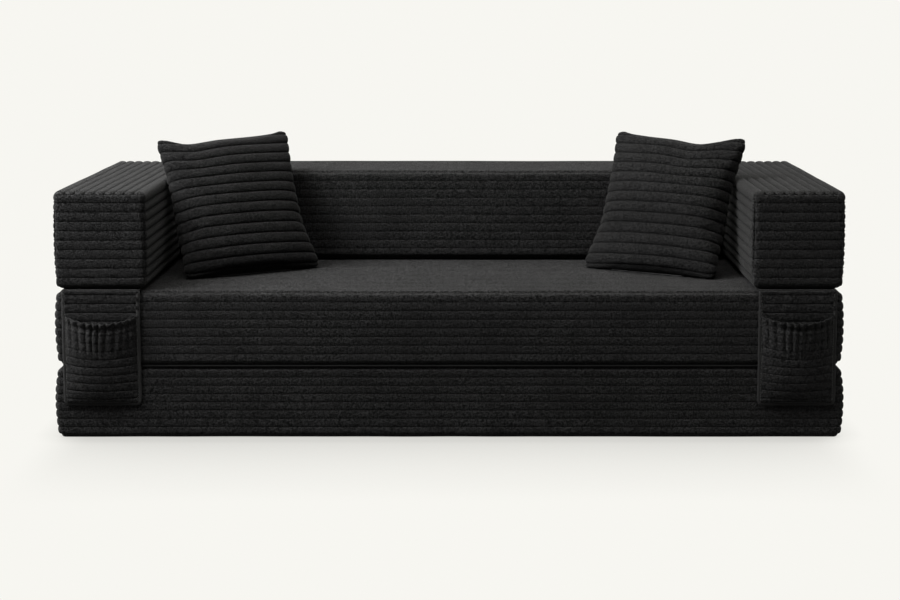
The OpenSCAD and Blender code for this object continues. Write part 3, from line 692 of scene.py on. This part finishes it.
def panel_mesh(name, low, high):
    """The front patch of an arm's skin as a closed pad."""
    patch = np.array([0.36, 0.68, 0.88, 1.0])
    rows = [stations(low[0], high[0], plain=0.012), None,
            stations(low[2], high[2], ribs_between(low[2], high[2]),
                     arcs=(ARC, np.tan(np.radians(patch * WRAP_END))))]
    part = block_face(rows, low, high, 1, -1, 2, False, False, 1)
    centre = (np.array(low) + np.array(high)) / 2
    half = (np.array(high) - np.array(low)) / 2
    part[2] = part[2] * PANEL_RIBS
    part[3] = part[3] * (1 - 0.75 * smooth(part[0][..., 2], high[2] - 0.016, high[2] - 0.010))
    front = part[0]
    for axis in (0, 2):
        front[..., axis] = centre[axis] + (front[..., axis] - centre[axis]) * \
            (1 - 0.0006 / half[axis])
    sx = (front[..., 0] - centre[0]) / half[0]
    sz = (front[..., 2] - centre[2]) / half[2]
    front[..., 1] += 0.0008 + 0.0008 * (1 - (1 - sx ** 4) * (1 - sz ** 4))
    back = [front.copy(), part[1] * 0, part[2] * 0, part[3] * 0, part[4]]
    back[0][..., 1] = low[1] + PANEL_T
    a, b = front.shape[:2]
    border = [(i, 0) for i in range(a)] + [(a - 1, j) for j in range(1, b)] + \
        [(i, b - 1) for i in range(a - 2, -1, -1)] + [(0, j) for j in range(b - 2, 0, -1)]
    wall = np.stack([[sheet[ij] for ij in border + border[:1]] for sheet in (front, back[0])])
    blank = np.zeros(wall.shape[:2])
    return tidy(weld(name, [part, back, grid_part(wall, blank, blank, blank)]))


def close_front(mesh):
    """Folds the cloth in behind the teeth and closes it behind the panel."""
    work = bmesh.new()
    work.from_mesh(mesh)
    rim = [e for e in work.edges if e.is_boundary]
    sunk = bmesh.ops.extrude_edge_only(work, edges=rim)["geom"]
    for v in [g for g in sunk if isinstance(g, bmesh.types.BMVert)]:
        v.co.y = FRONT_Y + PANEL_ROOM
    bmesh.ops.contextual_create(work, geom=[e for e in work.edges if e.is_boundary])
    bmesh.ops.recalc_face_normals(work, faces=work.faces)
    work.to_mesh(mesh)
    work.free()


for side in ("left", "right"):
    low, high = box_of("arm_cover_" + side)
    low[1] = FRONT_Y
    name = "arm_cover_cloth_" + side
    mesh = cover_mesh(name, low, high, ARM_FACES, 1, 8, (0.0025, 0.006), "arm_zip_" + side)
    close_front(mesh)
    add_cover("arm_" + side, mesh, name, "arm_cover_" + side, rib_height=0.0088,
              seam_depth=0.0009, flatness=2.0, wander=0.0016, seed=5.0 + len(covers))
    name = "arm_panel_cloth_" + side
    add_cover("panel_" + side, panel_mesh(name, low, high), name, "arm_panel_" + side,
              rib_height=0.0052, seam_depth=0.0009, flatness=2.1, wander=0.0014,
              seed=9.0 + len(covers))

# %% [markdown]
# Each cover is filled by one block of cut foam. The cover squeezes its edges, so the foam is the
# same crowned form as the skin, a little smaller. Its faces need no ribs, only a coarse grid.

# %% Foam blocks
BLOCKS = (("seat", "", "sofa"), ("base", "", "base"), ("back", "", "sofa"),
          ("arm", "_left", "sofa"), ("arm", "_right", "sofa"))
FOAM_IN, FOAM_BEHIND = 0.0128, 0.001


def foam_mesh(low, high):
    low, high = [v + FOAM_IN for v in low], [v - FOAM_IN for v in high]
    rows = [stations(low[axis], high[axis], plain=0.06) for axis in range(3)]
    mesh = tidy(weld("foam", [block_face(rows, low, high, axis, sign, None, False, False)
                              for axis in range(3) for sign in (-1, 1)]))
    belly(mesh, low, high, (0.004, 0.006))
    return mesh


for block, end, body in BLOCKS:
    low, high = box_of(block + "_cover" + end)
    if end:
        low[1] += FOAM_BEHIND - FOAM_IN
    core = add_piece(foam_mesh(low, high), block + end + "_foam_core", cut_foam, "foam", body,
                     block + "_foam" + end)
print("foam blocks:", len(BLOCKS), "each", FOAM_IN * 1000, "mm inside its cover")

# %% [markdown]
# Hidden faces are closed by a thin lining sewn into a window of the cover, and flat tapes hold the
# blocks. All are strips of cloth with rounded corners, so one function makes them: a top and a
# bottom grid that meet in a thin edge. Their corners are squares bent onto arcs.

# %% Linings, tapes and tabs
STRIP_CELL, LINING_T = 0.03, 0.0011


def round_corners(a, b, half_a, half_b, radius):
    """Pulls the corners of a rectangle onto arcs of this radius."""
    p = (np.abs(a) - half_a + radius).clip(0) / radius
    q = (np.abs(b) - half_b + radius).clip(0) / radius
    return (np.sign(a) * (np.abs(a) - radius * p * (1 - np.sqrt(1 - q * q / 2))),
            np.sign(b) * (np.abs(b) - radius * q * (1 - np.sqrt(1 - p * p / 2))))


def strip_mesh(low, high, thin, radius, ripple=0.0):
    """A closed strip that fills a box, with thin as the axis of its thickness."""
    u, v = [axis for axis in range(3) if axis != thin]

    def stops(axis):
        length = high[axis] - low[axis]
        near = [0, min(0.0006, radius / 3), *(radius * k / 4 for k in (1, 2, 3))]
        cells = max(3, round((length - 2 * radius) / STRIP_CELL))
        middle = np.linspace(radius, length - radius, cells)
        return np.concatenate([near, middle, [length - t for t in near[::-1]]]) - length / 2

    a, b = np.meshgrid(stops(u), stops(v), indexing="ij")
    a2, b2 = round_corners(a, b, (high[u] - low[u]) / 2, (high[v] - low[v]) / 2, radius)
    rim = np.ones_like(a)
    rim[0], rim[-1], rim[:, 0], rim[:, -1] = 0, 0, 0, 0
    wave = ripple * rim * np.sin(31 * a + 2 * np.sin(9 * b)) * np.sin(23 * b + 1)
    sheets = []
    for side in (-1, 1):
        points = np.zeros((*a.shape, 3))
        points[..., u], points[..., v] = a2 + (low[u] + high[u]) / 2, b2 + (low[v] + high[v]) / 2
        points[..., thin] = (low[thin] + high[thin]) / 2 + wave + \
            side * rim * ((high[thin] - low[thin]) / 2 - ripple)
        sheets.append(grid_part(points, a * 0, a * 0, a * 0))
    return tidy(weld("strip", sheets))


def rim_line(low, high, level, inset, bow):
    """A closed line of points round a flat piece, inset from its border."""
    x0, x1, y0, y1 = low[0] + inset, high[0] - inset, low[1] + inset, high[1] - inset
    corners = [(x0, y0, 1, 1), (x1, y0, -1, 1), (x1, y1, -1, -1), (x0, y1, 1, -1)]
    line = []
    for k, (x, y, sx, sy) in enumerate(corners):
        arc = [(x + sx * bow * (1 - math.cos(t)), y + sy * bow * (1 - math.sin(t)), level)
               for t in (0, math.pi / 4, math.pi / 2)]
        line += arc if k in (0, 2) else arc[::-1]
    return line + line[:1]


seams = {"sofa": [], "base": []}
for block, end, body in BLOCKS:
    node, faces_up = block + "_lining" + end, block == "base"
    low, high = box_of(node)
    if faces_up:
        low[2] = high[2] - LINING_T
    else:
        high[2] = low[2] + LINING_T
    cloth = add_piece(strip_mesh(low, high, 2, 0.02, 0.0001), block + end + "_lining_cloth",
                      lining_cloth, "lining", body, node)
    seams[body].append(rim_line(low, high, high[2] if faces_up else low[2], 0.006, 0.015))
for node in ("arm_hook_tape_left", "arm_hook_tape_right", "back_hook_tape", "seat_loop_tape_left",
             "seat_loop_tape_right", "seat_loop_tape_back", "hinge_tape_upper", "hinge_tape_lower",
             "pocket_tab_left", "pocket_tab_right"):
    low, high = box_of(node)
    body = "base" if node == "hinge_tape_lower" else "sofa"
    add_piece(strip_mesh(low, high, 2, 0.004), node.replace("_tape", "_strip").replace("tab", "fold"),
              trim_tape if "hook" in node or "loop" in node else shaded_fold_cloth, "webbing", body, node)
    faces_up = "hook" not in node and node != "hinge_tape_upper"
    seams[body].append(rim_line(low, high, high[2] if faces_up else low[2],
                                0.012 if "hinge" in node else 0.004, 0.003))
print("seam lines:", {body: len(lines) for body, lines in seams.items()})

# %% [markdown]
# A zip closes each cover at the rear: a cloth tape, a row of teeth that lean by turns to one side
# and the other, and a slider. The teeth repeat along a line, so a tree puts one small tooth on each
# point of a resampled curve and moves every second one across.

# %% Zips
def tooth_tree():
    wire, ask = new_tree("Zip teeth", Pitch=0.004, Tooth=(0.0022, 0.0020, 0.0034),
                         Across=(0.0, 0.0, 0.001))
    line = wire.make("GeometryNodeMeshToCurve", {}, {0: ask["Geometry"]})
    spread = wire.make("GeometryNodeResampleCurve", {"mode": "LENGTH"}, {
        "Curve": line, "Length": ask["Pitch"]})
    parity = wire.math("MODULO", wire.make("GeometryNodeInputIndex"), 2.0)
    offset = scaled(wire, ask["Across"], parity * 2 - 1)
    tooth = wire.make("GeometryNodeMeshCube", {}, {"Size": ask["Tooth"]})
    placed = wire.make("GeometryNodeInstanceOnPoints", {}, {"Points": spread, "Instance": tooth})
    shifted = wire.make("GeometryNodeTranslateInstances", {}, {
        "Instances": placed, "Translation": offset, "Local Space": False})
    return end_tree(wire, shifted, ask["Material"])


def line_mesh(name, lines):
    """A mesh of edges alone, one chain for each line of points."""
    points = [tuple(map(float, point)) for line in lines for point in line]
    edges, start = [], 0
    for line in lines:
        edges += [(start + k, start + k + 1) for k in range(len(line) - 1)]
        start += len(line)
    mesh = bpy.data.meshes.new(name)
    mesh.from_pydata(points, edges, [])
    return mesh


TEETH = tooth_tree()
for block, end, body in BLOCKS:
    low, high = box_of(block + "_zip" + end)
    tape = strip_mesh(low, [high[0], low[1] + 0.001, high[2]], 1, 0.002)
    add_piece(tape, block + end + "_zip_tape", trim_tape, "webbing", body, block + "_zip" + end)
    middle, y = (low[2] + high[2]) / 2, low[1] + 0.0021
    chain = grow(line_mesh("chain", [[(low[0] + 0.004, y, middle), (high[0] - 0.004, y, middle)]]),
                 block + end + "_zip_teeth", TEETH, material=dark_metal)
    chain.data.shade_flat()
    settle(chain, "slider_metal", body)
    for z in (low[2] + 0.003, high[2] - 0.003):
        seams[body].append([(low[0] + 0.003, low[1] + 0.001, z), (high[0] - 0.003, low[1] + 0.001, z)])

# %% [markdown]
# A loose cushion is two squares of corduroy sewn round the edge and stuffed. Pressure inside
# rounds its middle and pulls its sides in, and the corners stay out as ears. Blender's cloth does
# the same: the flat case is blown up a little with gravity off, and a point may move only so far.
# The case keeps its own rows of points, one set for each rib, so the ribs follow the swollen form.

# %% Case of a cushion
CUSHION, CUSHION_HALF, CUSHION_RIBS, CUSHION_COLUMNS, CUSHION_THICK = 0.394, 0.199, 14, 44, 0.060
EAR_R, EAR_SPREAD, FOOT, STRETCH = 0.16, math.pi / 2 * 0.86, 0.018, 1.040


def rib_rows(ribs):
    """Rows of a ribbed cloth from 0 to 1, closer together in the grooves."""
    return np.array([(i + f) / ribs for i in range(ribs) for f in RIB_STEPS[8]] + [1])


def cushion_case(name):
    """A closed thin case in its own frame: X across, Y through it and Z up from its lower edge."""
    s_row = np.sin(np.linspace(-1, 1, CUSHION_COLUMNS + 1) * EAR_SPREAD) / math.sin(EAR_SPREAD)
    s, t = np.meshgrid(s_row, rib_rows(CUSHION_RIBS) * 2 - 1, indexing="ij")
    crown = ((1 - s * s) * (1 - t * t)).clip(0) ** 0.42
    across, up = round_corners(s, t, 1, 1, EAR_R)
    foot = FOOT * smooth(-t, 0.25, 1)
    sag = np.where(t > 0, 0.014, 0.002) * (1 - s * s) ** 0.7
    sheets = []
    for side in (-1, 1):
        points = np.stack([across * (CUSHION_HALF - 0.013 * (1 - t * t)),
                           side * CUSHION_THICK * crown - foot,
                           STRETCH * (CUSHION / 2 + up * (CUSHION_HALF - sag))], -1)
        sheets.append(grid_part(points, (t + 1) / 2 * CUSHION_RIBS,
                                0.6 + 0.4 * smooth(crown, 0.0, 0.3), 1 - crown))
    return tidy(weld(name, sheets))


def values_of(mesh, name):
    values = np.empty(len(mesh.vertices))
    mesh.attributes[name].data.foreach_get("value", values)
    return values


def swell(mesh, pressure, cap, seam_cap):
    """Blows up a closed case with cloth, and lets no point move further than its cap."""
    frames = 9
    case = put_in_scene("case", mesh)
    cloth = case.modifiers.new("cloth", "CLOTH")
    sizes = cloth.settings
    sizes.use_pressure, sizes.uniform_pressure_force = True, pressure
    sizes.effector_weights.gravity = 0
    sizes.quality, sizes.mass = 6, 0.3
    sizes.tension_stiffness = sizes.compression_stiffness = 22
    sizes.shear_stiffness, sizes.bending_stiffness = 8, 3
    cloth.point_cache.frame_start, cloth.point_cache.frame_end = 1, frames
    for step in range(1, frames + 1):
        bpy.context.scene.frame_set(step)
    start = points_of(mesh)
    move = points_of(case.evaluated_get(bpy.context.evaluated_depsgraph_get()).data) - start
    bpy.context.scene.frame_set(1)
    bpy.data.objects.remove(case)
    far = np.linalg.norm(move, axis=1, keepdims=True)
    crown = 1 - values_of(mesh, "seam")[:, None]
    caps = seam_cap + (cap - seam_cap) * smooth(crown, 0.15, 0.9)
    print("cloth moved at most", round(float(far.max()) * 1000, 1), "mm")
    return start + move * np.minimum(1, caps / np.maximum(far, 1e-9))


case = cushion_case("cushion_case")
swollen = swell(case, 4.0, 0.024, 0.006)
sewn = values_of(case, "seam") > 0.999
case.attributes["seam"].data.foreach_set("value", sewn * 1.0)
print("cushion", np.round(np.ptp(swollen, axis=0), 3), "m")

# %% [markdown]
# Each cushion leans back into its corner. It is placed by turning its own frame, and its lower
# edge settles on the seat: what would sink into the seat is pressed flat.

# %% Cushions in their corners
YAW, LEAN, CORNER_X, CORNER_Y = math.radians(33), math.radians(-25), 0.527, 0.119
SEAT_TOP, SINK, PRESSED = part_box("seat_cover")[1].z, 0.005, 0.006
FILL_SHARE, MIDDLE = (0.90, 0.80, 0.90), np.array([0, 0, CUSHION / 2])


def turned(a, b, angle):
    return a * math.cos(angle) - b * math.sin(angle), a * math.sin(angle) + b * math.cos(angle)


LOWEST = turned(swollen[:, 1], swollen[:, 2], LEAN)[1].min()


def lean_back(points, side):
    """From the cushion's own frame into its corner."""
    x, y, z = points.T
    y, z = turned(y, z, LEAN)
    x, y = turned(x, y, YAW)
    z = z + (SEAT_TOP - SINK - LOWEST)
    rest = SEAT_TOP + 0.0008
    flat = ((z - SEAT_TOP + SINK) / (2 * PRESSED)).clip(0, 1) ** 2
    z = np.where(z < rest + PRESSED, rest + PRESSED * flat, z)
    return np.stack([-side * (x - CORNER_X), y - CORNER_Y, z], -1)


def dent(points, where, deep):
    """Lifts the ear towards the middle of the sofa and dents the upper edge at one place."""
    x, y, z = points.T
    high = smooth(z / CUSHION, 0.45, 1)
    z = z + 0.005 * smooth(x / 0.2, -0.6, 1) * high
    return np.stack([x, y, z - deep * np.exp(-((x / 0.2 - where) / 0.3) ** 2) * high], -1)


def case_at(points, side):
    mesh = case.copy()
    mesh.vertices.foreach_set("co", lean_back(points, side).reshape(-1))
    return tidy(mesh)


for side, sign, where in (("left", -1, -0.6), ("right", 1, -0.3)):
    body, shaped = "cushion_" + side, dent(swollen, where, 0.010)
    cushion = grow(case_at(shaped, sign), "cushion_cloth_" + side, RIBS, rib_height=0.0046,
                   seam_depth=0.0, wander=0.003, flatness=2.1, wander_scale=7.0,
                   seed=20.0 + sign, material=shaded_corduroy)
    settle(cushion, "corduroy", body, "cushion_cover_" + side)
    fill = add_piece(case_at((shaped - MIDDLE) * FILL_SHARE + MIDDLE, sign),
                     "cushion_fibre_" + side, fibre, "foam", body, "cushion_fill_" + side)

# %% [markdown]
# A pocket hangs on the front corner: a ribbed flap, bound round its edge, with a pouch sewn on its
# front. An elastic in the pouch's hem pulls the rim in, so the cloth below it stands in gathers
# that fade out half way down, where the ribs take over.

# %% Pocket flaps
FLAP_W, FLAP_L, FLAP_Y, FLAP_R = 0.195, 0.29, -0.423, 0.009
POUCH_W, POUCH_L, POUCH_OUT, POUCH_RISE = 0.176, 0.222, 0.030, math.hypot(0.034, 0.020)
POUCH_CUT, GATHERS, GATHER_DEEP, RIM_DROP, CLOTH_T = (0.222, 0.235), 10, 0.0088, 0.013, 0.0016


def flap_frame(points, side):
    """From the flap's own frame, X across and Z down from its fold, to its place."""
    low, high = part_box("pocket_panel_" + side)
    return points + np.array([(low.x + high.x) / 2, FLAP_Y, high.z])


def cloth_grid(points, count, mask, seam):
    mesh = weld("cloth", [grid_part(points, count, mask, seam)])
    mesh.shade_smooth()
    return mesh


def flap_mesh(side):
    ribs = round(FLAP_L / RIB_P)
    s, v = np.meshgrid(np.linspace(-1, 1, 29), rib_rows(ribs), indexing="ij")
    half = FLAP_W / 2 - 0.003
    share = FLAP_R / half
    p = (np.abs(s) - 1 + share).clip(0) / share
    q = (1 - v * FLAP_L / FLAP_R).clip(0)
    down = (FLAP_L - 0.003) * v + FLAP_R * q * (1 - np.sqrt(1 - p * p / 2))
    x = half * (s - np.sign(s) * share * p * (1 - np.sqrt(1 - q * q / 2)))
    y = -0.0021 - 0.0006 * smooth(v, 0.02, 0.2) * (0.5 + 0.5 * np.sin(3 * s + 5 * v))
    return cloth_grid(flap_frame(np.stack([x, y, down - FLAP_L + 0.003], -1), side),
                      v * ribs, np.ones_like(v), v * 0)


def pouch_surface(s, v):
    """The pouch's points, share of rib height and painted shade of its folds and rim; v runs up from
    its foot.
    """
    half = POUCH_W / 2
    bend = (half * half + POUCH_RISE * POUCH_RISE) / (2 * POUCH_RISE)
    arch = (np.sqrt(bend ** 2 - half ** 2 * s ** 2) - (bend - POUCH_RISE)) / POUCH_RISE
    swell_out = np.sqrt(v * (2 - v)) * arch
    wave = GATHERS * (s + 1) / 2 + 0.13 * np.sin(7 * s + 1) + 0.07 * np.sin(11 * v + 4 * s)
    pleat = (0.5 - 0.5 * np.cos(2 * math.pi * wave)) ** 0.55
    bead = np.abs(np.sin(math.pi * v * POUCH_L / RIB_P)) ** 0.6
    fade = smooth(v, 0.48, 0.84)
    gather = fade * (0.8 + 0.2 * np.sin(5 * s + 2)) * (0.65 + 0.35 * bead)
    pinch = smooth(v, 0.87, 0.91) * (1 - smooth(v, 0.925, 0.97))
    frill = smooth(v, 0.93, 1.0)
    y = -(0.0041 + POUCH_OUT * swell_out +
          GATHER_DEEP * (pleat - 0.40) * gather * arch.clip(0, 1) ** 0.4)
    y += 0.0045 * pinch * arch.clip(0, 1) ** 0.5 - 0.0022 * frill * arch
    y = np.minimum(y, -0.0036)
    z = 0.008 + v * (POUCH_L - 0.004 - RIM_DROP * arch) + \
        0.0012 * frill * np.cos(2 * math.pi * wave)
    ribs = (0.80 - 0.35 * smooth(v, 0.5, 0.7)) * smooth(v, 0.0, 0.02) * (1 - smooth(v, 0.86, 0.9))
    # Painted shade: the valleys of the gathers, the pinch below the hem and the rim's top edge are
    # darkened.
    fold = (1 - pleat) ** 1.5 * fade * 1.1 + 0.4 * pinch + 2.0 * smooth(v, 0.975, 1)
    return np.stack([s * half, y, z - FLAP_L], -1), ribs, fold


def pouch_mesh(side):
    ribs = round(POUCH_L / RIB_P)
    s, v = np.meshgrid(np.linspace(-1, 1, 145), rib_rows(ribs), indexing="ij")
    points, mask, fold = pouch_surface(s, v)
    return cloth_grid(flap_frame(points, side), v * ribs, mask, fold)


def thicken(piece, thick):
    """A Solidify modifier, applied: the cloth gets its thickness towards its rear."""
    wall = piece.modifiers.new("thick", "SOLIDIFY")
    wall.thickness, wall.offset = thick, 1
    mesh = evaluated(piece)
    piece.modifiers.clear()
    piece.data = tidy(mesh)
    return piece


for side in ("left", "right"):
    body = "pocket_flap_" + side
    flap, pouch = (
        settle(thicken(grow(mesh, name + "_cloth_" + side, RIBS, rib_height=height, seam_depth=0.0,
                            wander=stray, seed=seed, material=corduroy), CLOTH_T),
               "corduroy", body, node + side)
        for mesh, name, node, height, stray, seed in (
            (flap_mesh(side), "pocket_flap", "pocket_panel_", 0.0018, 0.0003, 31.0),
            (pouch_mesh(side), "pocket_pouch", "pocket_pouch_", 0.0024, 0.0012, 33.0)))

# %% [markdown]
# A flap is bound with a folded tape: a flat oval swept round its sides and lower edge. The cushion's
# zip tape is a thin oval swept along the lower seam. A sweep in mesh code keeps full control of the
# section, so it can be flat against the cloth everywhere.

# %% Binding and cushion zips
BIND_W, BIND_T, BIND_R, BIND_Y, OVAL = 0.0100, 0.0042, 0.009, -0.0021, 10


def sweep_mesh(path, across, over, wide, thick):
    """A closed oval bar along a path. across and over are its two directions at each point."""
    path, across, over = (np.asarray(v, float) for v in (path, across, over))
    turn = np.linspace(0, 2 * math.pi, OVAL, endpoint=False)
    ring = path[:, None] + across[:, None] * np.cos(turn)[None, :, None] * wide / 2 + \
        over[:, None] * np.sin(turn)[None, :, None] * thick / 2
    n = len(path)
    faces = [[i * OVAL + k, (i + 1) * OVAL + k, (i + 1) * OVAL + (k + 1) % OVAL,
              i * OVAL + (k + 1) % OVAL] for i in range(n - 1) for k in range(OVAL)]
    faces += [list(range(OVAL)), [(n - 1) * OVAL + k for k in range(OVAL)]]
    mesh = bpy.data.meshes.new("sweep")
    mesh.from_pydata(ring.reshape(-1, 3).tolist(), [], faces)
    return tidy(mesh)


def flap_edge(inset, radius, level):
    """The U of a flap's sides and lower edge, X across and Z down, with directions outwards."""
    half, foot = FLAP_W / 2 - inset, -FLAP_L + inset
    arc = np.linspace(0, math.pi / 2, 7)
    down = np.linspace(-0.001, foot + radius, 40)[:-1]
    rows = [(-half, z, -1, 0) for z in down]
    rows += [(-half + radius * (1 - math.cos(t)), foot + radius * (1 - math.sin(t)),
              -math.cos(t), -math.sin(t)) for t in arc]
    rows += [(x, foot, 0, -1) for x in np.linspace(-half + radius, half - radius, 26)[1:-1]]
    rows += [(-x, z, -a, b) for x, z, a, b in rows[:len(down) + len(arc)][::-1]]
    x, z, a, b = np.array(rows).T
    sway = 0.0003 * np.sin(np.arange(len(rows)) * 0.9)
    return np.stack([x + a * sway, x * 0 + level, z], -1), np.stack([a, x * 0, b], -1)


for side, sign in (("left", -1), ("right", 1)):
    body = "pocket_flap_" + side
    path, out = flap_edge(BIND_W / 2, BIND_R, BIND_Y)
    bind = sweep_mesh(flap_frame(path, side), out, [(0, 1, 0)] * len(path), BIND_W, BIND_T)
    add_piece(bind, "pocket_binding_tape_" + side, binding, "webbing", body,
              "pocket_binding_" + side)
    inner, _ = flap_edge(BIND_W * 0.8, BIND_R - 0.0012, BIND_Y - BIND_T * 0.42)
    seams[body] = [flap_frame(inner, side)]
    lower = swollen[sewn & (swollen[:, 2] < 0.06) & (np.abs(swollen[:, 0]) < 0.115)]
    lower = lean_back(lower[np.argsort(lower[:, 0])] - (0, 0, 0.0012), sign)
    through = np.cross((math.cos(YAW) * -sign, math.sin(YAW), 0), (0, 0, 1))
    zip_tape = sweep_mesh(lower, [through] * len(lower), [(0, 0, 1)] * len(lower), 0.007, 0.0022)
    add_piece(zip_tape, "cushion_zip_tape_" + side, trim_tape, "webbing", "cushion_" + side,
              "cushion_zip_" + side)
print("binding of", BIND_W * 1000, "mm and cushion zips of", len(lower), "points")

# %% [markdown]
# Stitches are the same small stroke over and over, so a tree lays them: it resamples each seam line
# at the stitch length, turns a low capsule along the line at every point, and leaves a gap between
# one and the next. Only a few faces each, because there are thousands.

# %% Tree of the stitches
def stitch_tree():
    wire, ask = new_tree("Stitches", Spacing=0.0045, Stroke=(0.0007, 0.0007, 0.0031))
    line = wire.make("GeometryNodeMeshToCurve", {}, {0: ask["Geometry"]})
    dots = wire.make("GeometryNodeCurveToPoints", {"mode": "LENGTH"}, {
        "Curve": line, "Length": ask["Spacing"]}, out="Points")
    along = Wire(wire.tree, dots.socket.node.outputs["Rotation"])
    stroke = wire.make("GeometryNodeMeshIcoSphere", {}, {"Radius": 0.5, "Subdivisions": 1})
    laid = wire.make("GeometryNodeInstanceOnPoints", {}, {
        "Points": dots, "Instance": stroke, "Rotation": along, "Scale": ask["Stroke"]})
    return end_tree(wire, laid, ask["Material"])


STITCHES = stitch_tree()
for body, lines in seams.items():
    settle(grow(line_mesh("seams", lines), "stitches_" + body, STITCHES, material=thread),
           "webbing", body)

# %% [markdown]
# The sliders and the elastic cords keep their construction solids, because those already have the
# right form. They only get their finish.

# %% Finishes of the solids that stay
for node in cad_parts:
    kept = bpy.data.objects.get(node)
    if kept and not kept.hide_render:
        metal = "slider" in node
        for place in kept.material_slots:
            # The cords get the fold cloth, darkened as painted shade.
            place.material = dark_metal if metal else shaded_fold_cloth
        print("finish on", node, ":", "dark metal" if metal else "dark woven cord")
